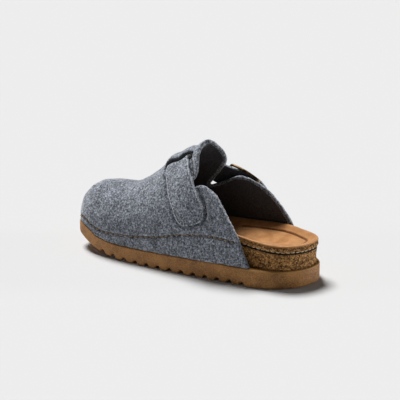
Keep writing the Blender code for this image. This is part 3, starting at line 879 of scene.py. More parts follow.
@dataclass(frozen=True)
class AntiqueBronze:
    """Cast buckle metal, darkened in a bath and rubbed back on its high places."""

    name: str = "bronze, cast and darkened"
    dark: str = "#3d2e1d"
    light: str = "#775e3d"
    stops: tuple[float, float] = (0.4, 0.65)
    wear: float = 5.0

    def material(self) -> bpy.types.Material:
        """A brown satin metal with brighter rubbed patches.

        Returns:
            The material.
        """
        material, tree, shader, place = new_material(self.name, Roughness=0.36, Metallic=1.0)
        wear = noise(tree, place, self.wear, Detail=3.0)
        toned(tree, shader, wear, self.stops, (self.dark, self.light))
        return material


@dataclass(frozen=True)
class WaxedThread:
    """Twisted sewing thread, drawn through wax."""

    name: str
    dark: str
    light: str
    stops: tuple[float, float] = (0.35, 0.65)
    twist: float = 0.9
    relief: float = 0.2

    def material(self) -> bpy.types.Material:
        """Two close tones along the twist, with a faint waxy shine.

        Returns:
            The material.
        """
        material, tree, shader, place = new_material(self.name, Roughness=0.7, Specular_IOR_Level=0.3)
        strand = noise(tree, place, self.twist, Detail=1.0)
        toned(tree, shader, strand, self.stops, (self.dark, self.light))
        bumped(tree, shader, strand, self.relief)
        return material


TAN_THREAD = WaxedThread("linen thread, waxed tan", "#735c42", "#a88d6a")
CREAM_THREAD = WaxedThread("linen thread, waxed cream", "#cdb691", "#efe0c4")
GREY_THREAD = WaxedThread("cotton thread, charcoal grey", "#26272b", "#3d3f45")


@dataclass(frozen=True)
class PaintedFloor:
    """A studio sweep painted a matt off-white."""

    name: str = "studio floor, matt white paint"
    paint: str = "#bdbdbd"

    def material(self) -> bpy.types.Material:
        """Even and without any shine, so that only the shadow shows."""
        paint = colour(self.paint)
        return new_material(self.name, Base_Color=paint, Roughness=1.0, Specular_IOR_Level=0.0)[0]


def dress(
        obj: bpy.types.Object, slot: Slot, materials: Sequence[bpy.types.Material],
        *nodes: str) -> bpy.types.Object:
    """Finishes a piece: its materials, the body it rides on, and the solids it stands for, which it hides.

    Args:
        obj: The piece.
        slot: Material slot of the record; not used.
        materials: The piece's materials; the first is the main one.
        nodes: Names of the solids that the piece stands for.

    Returns:
        The piece.
    """
    obj.data.materials.clear()
    for material in materials:
        obj.data.materials.append(material)
    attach(obj, "root")
    if nodes:
        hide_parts(*nodes)
    return obj


# Sole


@dataclass
class SolePlate:
    """A closed layer of the sole: a lower surface, rings up the side, and an upper surface."""

    last: Last
    # Rows round the heel, along the waist and round the toe, and columns across
    heel: int
    waist: int
    toe: int
    columns: int = 1

    def places(self) -> np.ndarray:
        """Stations from the back of the heel to the tip of the toe."""
        spans = ((0.0, 1.0, self.heel), (1.0, 2.0, self.waist), (2.0, 3.0, self.toe))
        return np.concatenate([np.linspace(a, b, n, endpoint=False) for a, b, n in spans] + [[3.0]])

    def rim(self, side: Side, inset_of: Rule) -> tuple[np.ndarray, np.ndarray]:
        """An edge of the layer on one side.

        Args:
            side: Side of the shoe.
            inset_of: How far the edge is taken in.

        Returns:
            The x and the along of each point.
        """
        places = self.places()
        inset = inset_of(side, self.last.station_along(places))
        along = self.last.station_along(places, inset)
        return self.last.edge_x(side, along, inset), along

    def surface(self, inset_of: Rule, height_of: SurfaceRule) -> np.ndarray:
        """Grid of a surface from one edge to the other.

        Args:
            inset_of: How far its edges are taken in.
            height_of: Its height over the plan.

        Returns:
            Points by row and column.
        """
        share = 0.5 - 0.5 * np.cos(np.pi * np.arange(self.columns + 1) / self.columns)
        (x0, y0), (x1, y1) = (self.rim(side, inset_of) for side in Side)
        x, y = mix(x0[:, None], x1[:, None], share), mix(y0[:, None], y1[:, None], share)
        return np.stack([x, y, np.broadcast_to(height_of(x, y), x.shape)], -1)

    def ring(self, side: Side, inset_of: Rule, height_of: Rule) -> np.ndarray:
        """Points of one ring on one side."""
        x, along = self.rim(side, inset_of)
        return np.stack([x, along, np.broadcast_to(height_of(side, along), x.shape)], -1)

    def build(self, name: str, rings: Sequence[tuple[Rule, Rule]], under: SurfaceRule,
              over: SurfaceRule) -> bpy.types.Object:
        """The layer as one closed mesh.

        Args:
            name: Name of the object.
            rings: An inset and a height for each ring, from the lowest to the highest.
            under: Height of the lower surface.
            over: Height of the upper surface.

        Returns:
            The object.
        """
        draft = Draft()
        lower, upper = self.surface(rings[0][0], under), self.surface(rings[-1][0], over)
        for side in Side:
            edge = 0 if side == Side.MEDIAL else -1
            walls = [self.ring(side, inset_of, height_of) for inset_of, height_of in rings]
            walls[0], walls[-1] = lower[:, edge], upper[:, edge]
            draft.add_grid(np.stack(walls))
        draft.add_grid(lower)
        draft.add_grid(upper)
        return draft.to_object(name, self.last)


def flat_inset(inset: float) -> Rule:
    """The same inset all round."""
    return lambda side, along: np.full(np.shape(along), inset)


@dataclass
class Outsole:
    """The foam outsole, with notches across its tread."""

    last: Last
    finish: MouldedFoam = MouldedFoam()
    # Paler foam on the heel's lip: a painted highlight, standing in for the lip catching light
    lip_highlight: MouldedFoam = MouldedFoam("foam rubber, lip painted paler as a highlight", "#936932", "#a97c43")
    lip_highlight_end: float = 64.0
    foot_round: float = 2.4
    lip_round: float = 1.5
    round_turns: tuple[float, ...] = (0, 22, 45, 67, 90)
    wall_shares: tuple[float, ...] = (0.25, 0.5, 0.75)
    tread_first: float = 61.6
    tread_pitch: float = 13.8
    tread_count: int = 13
    tread_depth: float = 3.4
    tread_half: float = 3.6
    tread_below: float = 3.0
    tread_soft: float = 0.3

    def underside(self, along: np.ndarray) -> np.ndarray:
        """Height of the tread.

        Args:
            along: Distances from the heel.

        Returns:
            Heights above the floor.
        """
        lift = np.zeros_like(along)
        for number in range(self.tread_count):
            across = np.clip((along - self.tread_first - self.tread_pitch * number) / self.tread_half, -1, 1)
            arch = (self.tread_depth + self.tread_below) * np.sqrt(1 - across**2) - self.tread_below
            lift += self.tread_soft * np.log1p(np.exp(arch / self.tread_soft))
        return self.last.ground(along) + lift

    def build(self) -> bpy.types.Object:
        """The outsole, rounded at its foot and at its lip.

        Returns:
            The piece.
        """
        last, turns = self.last, np.radians(self.round_turns)
        rings: list[tuple[Rule, Rule]] = []
        for turn in turns:
            reach = self.foot_round * (1 - math.sin(turn))
            lift = self.foot_round * (1 - math.cos(turn))
            rings.append((flat_inset(reach), lambda side, along, lift=lift: self.underside(along) + lift))
        for share in self.wall_shares:
            rings.append((flat_inset(0.0), lambda side, along, share=share: mix(
                self.underside(along) + self.foot_round, last.deck(along) - self.lip_round, share)))
        for turn in turns:
            reach = self.lip_round * (1 - math.cos(turn))
            drop = self.lip_round * (1 - math.sin(turn))
            rings.append((flat_inset(reach), lambda side, along, drop=drop: last.deck(along) - drop))
        plate = SolePlate(last, heel=70, waist=240, toe=170, columns=24)
        outsole = plate.build(
            "foam_outsole", rings, lambda x, y: self.underside(y), lambda x, y: last.deck(y))
        dress(outsole, Slot.FOAM, [self.finish.material(), self.lip_highlight.material()], "outsole")
        # Faces on the lip at the heel take the paler foam as a painted highlight
        for face in outsole.data.polygons:
            _, along, height = last.measured(face.center)
            face.material_index = int(along < self.lip_highlight_end and height > last.deck(along) - self.lip_round)
        return outsole


@dataclass
class Bed:
    """Shape that the cork footbed and the suede insole share."""

    last: Last
    # Insets where the side is bare and where the upper covers it
    cork_bare: float = 3.0
    cork_covered: float = 8.0
    rim_bare: float = 1.9
    rim_covered: float = 6.8
    covered_from: dict = field(default_factory=lambda: {Side.MEDIAL: (18.0, 50.0), Side.LATERAL: (4.0, 26.0)})
    insole_thick: float = 1.4
    lean_half: float = 8.0
    # Rim, step and bowl of the suede, by distance from its edge
    rim_flat: float = 1.5
    rim_band: float = 12.5
    border: float = 8.3
    border_drop: float = 0.3
    step_drop: float = 0.17
    step_start: float = -0.2
    step_end: float = 1.4
    bowl_end: float = 36.0
    # Crease at the foot of the step, and how far ahead the heel cup reaches
    crease: float = 1.5
    crease_half: float = 0.7
    crease_in: float = 1.2
    cup_end: float = 120.0
    cup_fade: float = 50.0

    def inset(self, bare: float, covered: float, extra: float = 0.0) -> Rule:
        """An inset that is small where the heel is bare and larger where the upper covers the side."""
        return lambda side, along: mix(bare, covered, ease(*self.covered_from[side], along)) + extra

    def low(self, extra: float = 0.0) -> Rule:
        """Inset of the cork below the seam."""
        return self.inset(self.cork_bare, self.cork_covered, extra)

    def rim(self, extra: float = 0.0) -> Rule:
        """Inset of the rim above the seam."""
        return self.inset(self.rim_bare, self.rim_covered, extra)

    def from_outline(self, x: np.ndarray, along: np.ndarray) -> np.ndarray:
        """Distance of a place on the plan from the outline of the sole.

        Args:
            x: Places across the shoe.
            along: Distances from the heel.

        Returns:
            Distances in millimetres.
        """
        run = self.last.station_along(SolePlate(self.last, heel=119, waist=159, toe=119).places())
        outline = [(edge, at, 0.0) for side in Side for edge, at in zip(self.last.edge_x(side, run), run)]
        tree = find_tree(outline)
        flat = [tree.find((a, b, 0.0))[2] for a, b in zip(np.ravel(x), np.ravel(along))]
        return np.array(flat).reshape(np.shape(x))

    def from_rim(self, x: np.ndarray, along: np.ndarray) -> tuple[np.ndarray, np.ndarray]:
        """Distance of a place on the plan from the insole's rim, and how far it lies to the lateral side.

        Args:
            x: Places across the shoe.
            along: Distances from the heel.

        Returns:
            Distances in millimetres, and shares from 0 on the medial side to 1 on the lateral one.
        """
        middle = (self.last.edge_x(Side.MEDIAL, along) + self.last.edge_x(Side.LATERAL, along)) / 2
        lean = ease(-self.lean_half, self.lean_half, x - middle)
        taken_in = mix(self.rim()(Side.MEDIAL, along), self.rim()(Side.LATERAL, along), lean)
        return self.from_outline(x, along) - taken_in, lean

    def top(self, x: np.ndarray, along: np.ndarray) -> np.ndarray:
        """Top of the insole: a raised rim, a step inside it, and the bowl that the foot lies in.

        Args:
            x: Places across the shoe.
            along: Distances from the heel.

        Returns:
            Heights above the floor.
        """
        last, border = self.last, self.border
        from_edge, lean = self.from_rim(x, along)
        seam = mix(last.seam_height(Side.MEDIAL, along), last.seam_height(Side.LATERAL, along), lean)
        depth = seam + last.rim_height - last.floor(along)
        plain = ease(self.rim_flat, self.rim_band, from_edge)
        stepped = self.border_drop * ease(self.rim_flat, border, from_edge)
        stepped = stepped + self.step_drop * ease(border + self.step_start, border + self.step_end, from_edge)
        stepped = stepped + (1 - self.border_drop - self.step_drop) * ease(border, self.bowl_end, from_edge)
        cup = 1 - ease(self.cup_end - self.cup_fade, self.cup_end, along)
        groove = self.crease * np.exp(-((from_edge - border - self.crease_in) / self.crease_half) ** 2) * cup
        return last.floor(along) + depth * (1 - mix(plain, stepped, cup)) - groove

    def edge_top(self, side: Side, along: np.ndarray) -> np.ndarray:
        """Top of the insole at its edge."""
        inset = self.rim()(side, along)
        return self.top(self.last.edge_x(side, along, inset), along)


@dataclass
class Footbed:
    """The cork footbed: a hollowed side, a stitched groove, and a rim under the insole."""

    last: Last
    bed: Bed
    finish: PressedCork = PressedCork()
    # Near-black cork for the sewn groove: painted shade under the thread
    groove_shade: PressedCork = PressedCork(
        "cork, painted dark as shade in the groove", "#150d06", "#2a1b0d", "#332212", "#44301b")
    # Hollowed wall, groove and rim
    gap: float = 0.15
    hollow: float = 0.9
    wall_shares: tuple[float, ...] = (0.0, 0.12, 0.3, 0.5, 0.7, 0.88, 1.0)
    groove_depth: float = 2.2
    groove_width: float = 2.8
    groove_back: tuple[float, float] = (0.75, 0.3)
    dark_inset: float = 0.3
    rim_lip: float = 1.0
    rim_shares: tuple[float, float] = (0.72, 0.82)
    shadow_gap: float = 0.8
    least_cork: float = 0.5
    edge_round: float = 0.5
    edge_soft: float = 0.1
    unevenness: float = 0.12
    lump_size: float = 4.0
    lump_seed: int = 3
    # Sewing in the groove, and how far ahead it goes
    stitch_pitch: float = 5.2
    stitch_share: float = 0.8
    thread_radius: float = 0.46
    thread_inset: float = 0.5
    thread_level: float = 0.24
    sewn_to: dict = field(default_factory=lambda: {Side.MEDIAL: 76.0, Side.LATERAL: 50.0})
    heel_points: int = 200
    waist_points: int = 40

    def groove(self, drop: float) -> Rule:
        """Height of the groove, less a drop."""
        return lambda side, along: np.minimum(
            self.last.seam_height(side, along), self.top_edge(side, along) - self.rim_lip) - drop

    def top_edge(self, side: Side, along: np.ndarray) -> np.ndarray:
        """Top of the cork at the rim."""
        return self.bed.edge_top(side, along) - self.bed.insole_thick - self.gap

    def wall(self, share: float) -> tuple[Rule, Rule]:
        """A ring on the hollowed side below the groove.

        Args:
            share: Its share of the height, 0 to 1.

        Returns:
            The ring's inset and its height.
        """
        def height(side: Side, along: np.ndarray) -> np.ndarray:
            """Height of the ring."""
            base, groove = self.last.deck(along), self.groove(self.groove_width)(side, along)
            return mix(base, np.maximum(base + self.least_cork, groove), share)

        return self.bed.low(self.hollow * 4 * share * (1 - share)), height

    def rim_level(self, share: float) -> Rule:
        """Height at a share of the way up the rim above the groove."""
        return lambda side, along: mix(
            self.groove(-self.edge_round)(side, along), self.top_edge(side, along), share)

    def build(self) -> bpy.types.Object:
        """The footbed.

        Returns:
            The piece.
        """
        bed, (behind, above) = self.bed, self.groove_back
        low_share, high_share = self.rim_shares
        rings = [self.wall(share) for share in self.wall_shares]
        rings += [
            (bed.low(self.groove_depth), self.groove(self.groove_width * behind)),
            (bed.low(self.groove_depth), self.groove(self.groove_width * above)),
            (bed.rim(self.edge_round), self.groove(0.0)),
            (bed.rim(self.edge_soft), self.groove(-self.edge_round)),
            (bed.rim(), self.rim_level(low_share)),
            (bed.rim(self.shadow_gap), self.rim_level(high_share)),
            (bed.rim(self.shadow_gap), self.top_edge),
        ]
        plate = SolePlate(self.last, heel=110, waist=120, toe=60, columns=40)
        drop = bed.insole_thick + self.gap
        footbed = plate.build(
            "cork_footbed", rings, lambda x, y: self.last.deck(y), lambda x, y: bed.top(x, y) - drop)
        skin = Skin(footbed, self.last)
        skin.push(lumps(skin.points, self.lump_size, self.lump_seed) * self.unevenness)
        dress(footbed, Slot.CORK, [self.finish.material(), self.groove_shade.material()], "footbed")
        # The groove takes the near-black cork as painted shade
        self.darken_groove(footbed)
        return footbed

    def darken_groove(self, footbed: bpy.types.Object) -> None:
        """Gives the faces in the groove a near-black cork as painted shade in the recess.

        Args:
            footbed: The piece.
        """
        places = np.array([self.last.measured(face.center) for face in footbed.data.polygons])
        x, along, height = places.T
        from_outline = self.bed.from_outline(x, along)
        in_groove = np.zeros(len(places), bool)
        for side in Side:
            low, high = self.groove(self.groove_width)(side, along), self.groove(0.0)(side, along)
            deep = from_outline > self.bed.low(self.dark_inset)(side, along)
            in_groove |= (side * (x - self.last.heel_x) > 0) & deep & (height > low) & (height < high)
        footbed.data.polygons.foreach_set("material_index", in_groove.astype(np.int32))

    def stitches(self) -> bpy.types.Object:
        """The sewing in the groove, round the bare heel from one end of the upper to the other.

        Returns:
            The piece.
        """
        last, inset_of = self.last, self.bed.low(self.thread_inset)
        places = np.linspace(0.0, 1.0, self.heel_points)
        lines = []
        for side, ahead in self.sewn_to.items():
            run = last.station_along(places, inset_of(side, last.station_along(places)))
            waist = np.linspace(last.heel_end, ahead, self.waist_points)[1:]
            run = np.concatenate([run[run < ahead], waist if ahead > last.heel_end else []])
            height = self.groove(self.groove_width * self.thread_level)(side, run)
            lines.append(np.stack([last.edge_x(side, run, inset_of(side, run)), run, height], -1))
        line = np.concatenate([lines[0][::-1], lines[1][1:]])
        out = unit(np.cross(np.gradient(line, axis=0), (0.0, 0.0, 1.0)))
        sewing = Sewing(self.stitch_pitch, self.stitch_pitch * self.stitch_share, self.thread_radius)
        thread = sewing.build("footbed_stitches", [(line, out)], last)
        return dress(thread, Slot.CORK, [CREAM_THREAD.material()])


@dataclass
class Insole:
    """The suede insole, stuck with glue over the cork."""

    last: Last
    bed: Bed
    finish: BrushedSuede = BrushedSuede()
    # Darker suede along the heel cup's crease: painted shade
    crease_shade: BrushedSuede = BrushedSuede("suede, painted dark as shade in the crease", "#73492a", "#8f633b")
    crease_shade_half: float = 0.85
    crease_shade_end: float = 95.0
    facing_up: float = 0.2
    edge_round: float = 0.6
    edge_share: float = 0.3
    edge_soft: float = 0.2

    def level(self, drop: float) -> Rule:
        """Height of a ring below the top of the edge."""
        return lambda side, along: self.bed.edge_top(side, along) - drop

    def build(self) -> bpy.types.Object:
        """The insole with a rounded edge.

        Returns:
            The piece.
        """
        bed, thick, turn_in = self.bed, self.bed.insole_thick, self.edge_round
        rings = [
            (bed.rim(self.edge_soft), self.level(thick)),
            (bed.rim(), self.level(thick - self.edge_soft)),
            (bed.rim(), self.level(turn_in)),
            (bed.rim(turn_in * self.edge_share), self.level(turn_in * self.edge_share)),
            (bed.rim(turn_in), self.level(0.0)),
        ]
        plate = SolePlate(self.last, heel=140, waist=92, toe=40, columns=164)
        insole = plate.build("suede_insole", rings, lambda x, y: bed.top(x, y) - thick, bed.top)
        dress(insole, Slot.SUEDE, [self.finish.material(), self.crease_shade.material()], "insole")
        faces = insole.data.polygons
        places = self.last.measured(np.array([face.center for face in faces]))
        from_rim, _ = bed.from_rim(places[:, 0], places[:, 1])
        upward = np.array([face.normal.z > self.facing_up for face in faces])
        # Upward faces along the crease take the darker suede as painted shade
        creased = np.abs(from_rim - bed.border - bed.crease_in) < self.crease_shade_half
        crease_shade = creased & upward & (places[:, 1] < self.crease_shade_end)
        faces.foreach_set("material_index", crease_shade.astype(np.int32))
        return insole


# Sewing


@dataclass
class Sewing:
    """A row of stitches: short lengths of thread that dip into the surface at both ends."""

    pitch: float
    length: float
    radius: float
    dip: float = 0.7
    dip_power: int = 3
    blunt_power: int = 6
    end_share: float = 0.05
    rings: int = 9
    sides: int = 8

    def spots(self, line: np.ndarray) -> np.ndarray:
        """Distances along a line at which a stitch starts.

        Args:
            line: Points of the line.

        Returns:
            The distances.
        """
        total = float(np.linalg.norm(np.diff(line, axis=0), axis=1).sum())
        count = max(1, int(total / self.pitch))
        return (np.arange(count) + 0.5) * total / count - self.length / 2

    def build(self, name: str, lines: Sequence[Line], last: Last) -> bpy.types.Object:
        """All stitches of a seam as one mesh.

        Args:
            name: Name of the object.
            lines: The lines of the seam.
            last: The shoe's shape.

        Returns:
            The object.
        """
        draft = Draft()
        share = np.linspace(0.0, 1.0, self.rings)
        off_middle = np.abs(2 * share - 1)
        thick = self.radius * np.sqrt(np.clip(1 - off_middle**self.blunt_power, self.end_share, 1.0))
        sink = self.dip * off_middle**self.dip_power
        for line, out in lines:
            run = run_of(line)
            for start in self.spots(line):
                at = start + share * self.length
                point, away = (np.stack([np.interp(at, run, column) for column in rows.T], -1)
                               for rows in (line, out))
                draft.add_tube(point - away * sink[:, None], thick, self.sides)
        return draft.to_object(name, last)


# Upper


@dataclass
class Upper:
    """The felt upper: one moulded shell, cut at the collar and slit beside the bridge of its tongue."""

    last: Last
    finish: WoolFelt = WoolFelt()
    lining_and_shade: FeltLining = FeltLining()
    # Darker felt for the seam's trough: painted shade
    seam_shade: WoolFelt = WoolFelt("wool felt, painted dark as shade in the seam's trough", "#202226", "#3a3d42", "#52565d", "#7a7f88")
    # Wall of felt and the grid of its outer face
    felt: float = 4.4
    back: float = 22.0
    gap: float = 0.1
    rows_body: int = 96
    rows_toe: int = 44
    wall_steps: int = 7
    side_steps: int = 40
    slit_steps: int = 5
    top_steps: int = 10
    cell: float = 1.1
    soft_passes: int = 3
    # Slits, by share of the way up to the ridge and by along
    slit_outer: float = 0.75
    slit_inner: float = 0.85
    slit_medial: tuple[float, float] = (134.5, 166.0)
    slit_lateral: tuple[float, float] = (142.0, 161.5)
    slit_points: int = 20
    # Cutters behind the collar
    collar_split: float = -0.5
    collar_overlap: float = 0.1
    collar_spare: float = 0.7
    collar_steps: int = 8
    collar_fine_steps: int = 30
    cutter_top: float = 175.0
    cutter_back: float = -30.0
    cutter_reach: float = 90.0
    # Seam round the toe, its trough and its sewing
    seam_medial: float = 70.5
    seam_lateral: float = 42.5
    seam_points: int = 200
    seam_toe_points: int = 160
    seam_trough: float = 1.1
    seam_half: float = 1.3
    seam_reach: float = 4.0
    seam_facing: float = 0.2
    thread_level: float = 0.55
    thread_sunk: float = 0.7
    thread_swell: tuple[float, float] = (-0.2, 0.8)
    thread_lump: float = 22.0
    thread_seed: int = 31
    thread_radius: float = 0.62
    thread_dip: float = 1.0
    needle_pit: float = 0.9
    needle_half: float = 1.2
    stitch_pitch: float = 6.3
    stitch_share: float = 0.62
    # Swell of the felt, and the press of the strap's edge
    unevenness: float = 0.25
    lump_size: float = 16.0
    lump_seed: int = 7
    strap_press: float = 2.8
    strap_half: float = 1.7
    strap_reach: float = 6.0
    strap_facing: float = 0.3
    # Where the dark felt shows: the real lining on the inner face, and painted shade in the slits, the crack
    # and the seam's trough
    slit_reach: float = 6.5
    crack_shade_depth: float = 2.2
    trough_depth: float = 0.75
    lining_turn: float = -0.72
    slit_turn: float = 0.5
    edge_band: float = 2.4
    # Along and lift of the bridge
    bridge_lift: tuple = (
        (134.5, 0.0), (138.0, 1.9), (141.0, 3.4), (145.0, 4.6), (149.0, 3.8), (153.0, 3.2), (158.0, 3.2),
        (162.0, 3.0), (165.0, 2.2), (168.5, 0.0),
    )
    # Along and height of the collar on each side
    collar_medial: tuple = (
        (49.5, 8), (60.3, 31), (67.3, 48.2), (72, 56.2), (78.3, 64.9), (86.2, 75.6), (94.4, 85.2),
        (102.2, 90.3), (109.8, 93.6), (116.7, 93.2), (123, 90), (131, 83), (138, 77), (137.5, 81), (132, 90),
        (126.5, 96), (123.4, 100.5), (122.5, 105), (122.7, 109), (123.5, 112.6), (125.2, 117), (126.5, 121),
        (127.2, 125), (127.2, 128), (126, 131.5), (124.3, 134.5), (124, 140),
    )
    collar_lateral: tuple = (
        (26, 8), (36, 31), (43.5, 46), (50, 56), (57, 66), (63.3, 73.6), (69.3, 79.2), (76, 84.2),
        (82.8, 87.3), (89.5, 89.8), (96, 90.3), (105, 88.9), (116, 83), (126, 77.5), (139.5, 72), (138.5, 76),
        (129.5, 86), (120.5, 97), (114.5, 105), (112.8, 110.5), (114.5, 117), (117.5, 123), (121, 129),
        (123.3, 133), (124, 140),
    )

    def bridged(self, girth: np.ndarray, along: np.ndarray) -> np.ndarray:
        """Outer face, raised where it is the bridge between the slits.

        Args:
            girth: Girths, -1 to 1.
            along: Distances from the heel.

        Returns:
            Points of the face.
        """
        lift = TableCurve(self.bridge_lift, 1)(along)
        lift = lift * ease(self.slit_outer, self.slit_inner, 1 - np.abs(girth))
        return self.last.over_foot(girth, along) + self.last.outward(girth, along) * lift[..., None]

    def alongs(self) -> np.ndarray:
        """Distances from the heel at which the shell has a row.

        Returns:
            The distances, from the lowest to the highest.
        """
        crest, tip = self.last.toe_crest, self.last.length - self.last.upper_inset
        body = np.linspace(self.back, crest, self.rows_body, endpoint=False)
        toe = crest + (tip - crest) * np.sin(np.linspace(0, math.pi / 2, self.rows_toe))
        return np.sort(np.concatenate([body, toe, self.slit_medial, self.slit_lateral]))

    def side_wall(self, side: Side, along: np.ndarray) -> np.ndarray:
        """The upright wall from the outsole to the seam.

        Args:
            side: Side of the shoe.
            along: Distances from the heel, one for each row.

        Returns:
            Points by row and column, ordered from the medial to the lateral edge of the whole face.
        """
        foot = self.last.edge_x(side, along, self.last.upper_inset)
        low = self.last.deck(along) + self.gap
        high = np.minimum(self.last.seam_height(side, along), self.last.ridge_at(along))
        height = mix(low[:, None], high[:, None], np.arange(self.wall_steps) / self.wall_steps)
        plan = [np.broadcast_to(values[:, None], height.shape) for values in (foot, along)]
        wall = np.stack([*plan, height], -1)
        return wall if side == Side.MEDIAL else wall[:, ::-1]

    def outer_face(self) -> tuple[np.ndarray, np.ndarray]:
        """The whole outer face, with the slits left open.

        Returns:
            Points by row and column, and True for each cell that stays open.
        """
        along, outer, inner = self.alongs(), self.slit_outer, self.slit_inner
        shares = np.concatenate([np.linspace(0, outer, self.side_steps),
                                 np.linspace(outer, inner, self.slit_steps)[1:],
                                 np.linspace(inner, 1, self.top_steps)[1:]])
        girths = np.concatenate([shares - 1, (1 - shares)[::-1][1:]])
        middle = self.bridged(*np.meshgrid(girths, along))
        medial, lateral = (self.side_wall(side, along) for side in Side)
        grid = np.concatenate([medial, middle, lateral], axis=1)
        cell_share = 1 - np.abs((girths[1:] + girths[:-1]) / 2)
        cell_along = (along[1:] + along[:-1]) / 2
        skip = np.zeros((len(along) - 1, grid.shape[1] - 1), bool)
        for column in np.flatnonzero((cell_share > outer) & (cell_share < inner)):
            low, high = self.slit_medial if girths[column] < 0 else self.slit_lateral
            skip[:, self.wall_steps + column] = (cell_along > low) & (cell_along < high)
        return grid, skip

    def collar_cutter(
            self, name: str, edge: Sequence[Sequence[float]], low: float, high: float) -> bpy.types.Object:
        """What is cut away behind a collar line.

        Args:
            name: Name of the cutter.
            edge: The line's points, by along and height.
            low: Lowest x of the cutter.
            high: Highest x of the cutter.

        Returns:
            The cutter.
        """
        line = smooth_line(edge, self.collar_steps)
        ahead = unit(np.gradient(line, axis=0))
        line = line + np.stack([-ahead[:, 1], ahead[:, 0]], -1) * self.collar_spare
        top, back = self.cutter_top, self.cutter_back
        outline = np.vstack([line, [(line[-1][0], top), (back, top), (back, line[0][1])]])
        draft = Draft()
        draft.add_prism([np.column_stack([np.full(len(outline), x), outline]) for x in (low, high)])
        return draft.to_object(name, self.last)

    def seam_line(self) -> Line:
        """The stitched seam round the toe, from the medial collar to the lateral one.

        Returns:
            The line.
        """
        last = self.last
        tip = last.length - last.upper_inset
        turn = np.linspace(0.0, math.pi / 2, self.seam_toe_points)
        toe = last.toe_start + (tip - last.toe_start) * np.sin(turn)
        sides = []
        for side, start in ((Side.MEDIAL, self.seam_medial), (Side.LATERAL, self.seam_lateral)):
            run = np.concatenate([np.linspace(start, last.toe_start, self.seam_points)[:-1], toe])
            edge = last.edge_x(side, run, last.upper_inset)
            sides.append(np.stack([edge, run, last.seam_height(side, run)], -1))
        line = np.concatenate([sides[0], sides[1][::-1][1:]])
        return line, unit(np.cross((0.0, 0.0, 1.0), np.gradient(line, axis=0)))

    def sewing(self) -> Sewing:
        """The seam's stitches."""
        length = self.stitch_pitch * self.stitch_share
        return Sewing(self.stitch_pitch, length, self.thread_radius, dip=self.thread_dip)

    def press_seam(self, skin: Skin) -> np.ndarray:
        """How far the sewing draws the outer face in.

        Args:
            skin: Points of the upper.

        Returns:
            Depth for each point, in millimetres.
        """
        line, out = self.seam_line()
        run, sewing, tree = run_of(line), self.sewing(), find_tree(line)
        starts = sewing.spots(line)
        holes = np.concatenate([starts, starts + sewing.length])
        drawn = np.zeros(len(skin.points))
        for i, point in enumerate(skin.points):
            _, nearest, far = tree.find(point)
            if far < self.seam_reach and skin.normals[i] @ out[nearest] > self.seam_facing:
                to_hole = np.min(np.abs(holes - run[nearest]))
                drawn[i] = self.seam_trough * math.exp(-(far / self.seam_half) ** 2)
                drawn[i] += self.needle_pit * math.exp(-(far**2 + to_hole**2) / self.needle_half**2)
        return drawn

    def press_strap(self, skin: Skin, edge: np.ndarray, outer: BVHTree) -> tuple[np.ndarray, np.ndarray]:
        """How far the strap's edge has sunk the outer face.

        Args:
            skin: Points of the upper.
            edge: Rows of the strap's edge line.
            outer: The outer face.

        Returns:
            Depth for each point, in millimetres, and the same for the part of the crack that is painted dark
            as shade.
        """
        tree = find_tree(edge[:, :3])
        drawn, crack = np.zeros((2, len(skin.points)))
        for i, point in enumerate(skin.points):
            _, nearest, far = tree.find(point)
            if far < self.strap_reach:
                _, normal, _, _ = outer.find_nearest(Vector(self.last.placed(point)))
                if skin.normals[i] @ np.array(normal) > self.strap_facing:
                    press, dark = edge[nearest, 3:]
                    drawn[i] = self.strap_press * press * math.exp(-(far / self.strap_half) ** 2)
                    # Depth of the crack where it is painted dark as shade
                    crack[i] = drawn[i] * dark
        return drawn, crack

    def line_and_shade(
            self, obj: bpy.types.Object, outer: BVHTree, crack: np.ndarray, trough: np.ndarray) -> None:
        """Gives the inner face its dark felt, and lays the same dark felt on the slits' edges and the crack
        beside the strap, and a darker felt in the seam's trough, as painted shade.

        Args:
            obj: The upper.
            outer: The outer face.
            crack: Depth of the crack beside the strap at each point.
            trough: Depth of the seam's trough at each point.
        """
        middle = 1 - (self.slit_outer + self.slit_inner) / 2
        sides = ((Side.MEDIAL, self.slit_medial, self.collar_medial),
                 (Side.LATERAL, self.slit_lateral, self.collar_lateral))
        slits = find_tree([self.last.over_foot(side * middle, along) for side, span, _ in sides
                           for along in np.linspace(*span, self.slit_points)])
        collars = {side: find_tree([(0.0, *spot) for spot in smooth_line(edge, self.collar_fine_steps)])
                   for side, _, edge in sides}
        for face in obj.data.polygons:
            _, normal, _, _ = outer.find_nearest(face.center)
            place = self.last.measured(face.center)
            side = Side.MEDIAL if place[0] < self.collar_split else Side.LATERAL
            if collars[side].find((0.0, place[1], place[2]))[2] < self.edge_band:
                continue
            corners = list(face.vertices)
            # Near the slits and in the crack beside the strap the dark felt is painted shade; elsewhere only
            # inward faces take it as the real lining
            turn = self.slit_turn if slits.find(place)[2] < self.slit_reach else self.lining_turn
            if crack[corners].mean() > self.crack_shade_depth or face.normal.dot(normal) < turn:
                face.material_index = 1
            # Faces deep in the seam's trough take the darker felt as painted shade
            elif trough[corners].mean() > self.trough_depth:
                face.material_index = 2

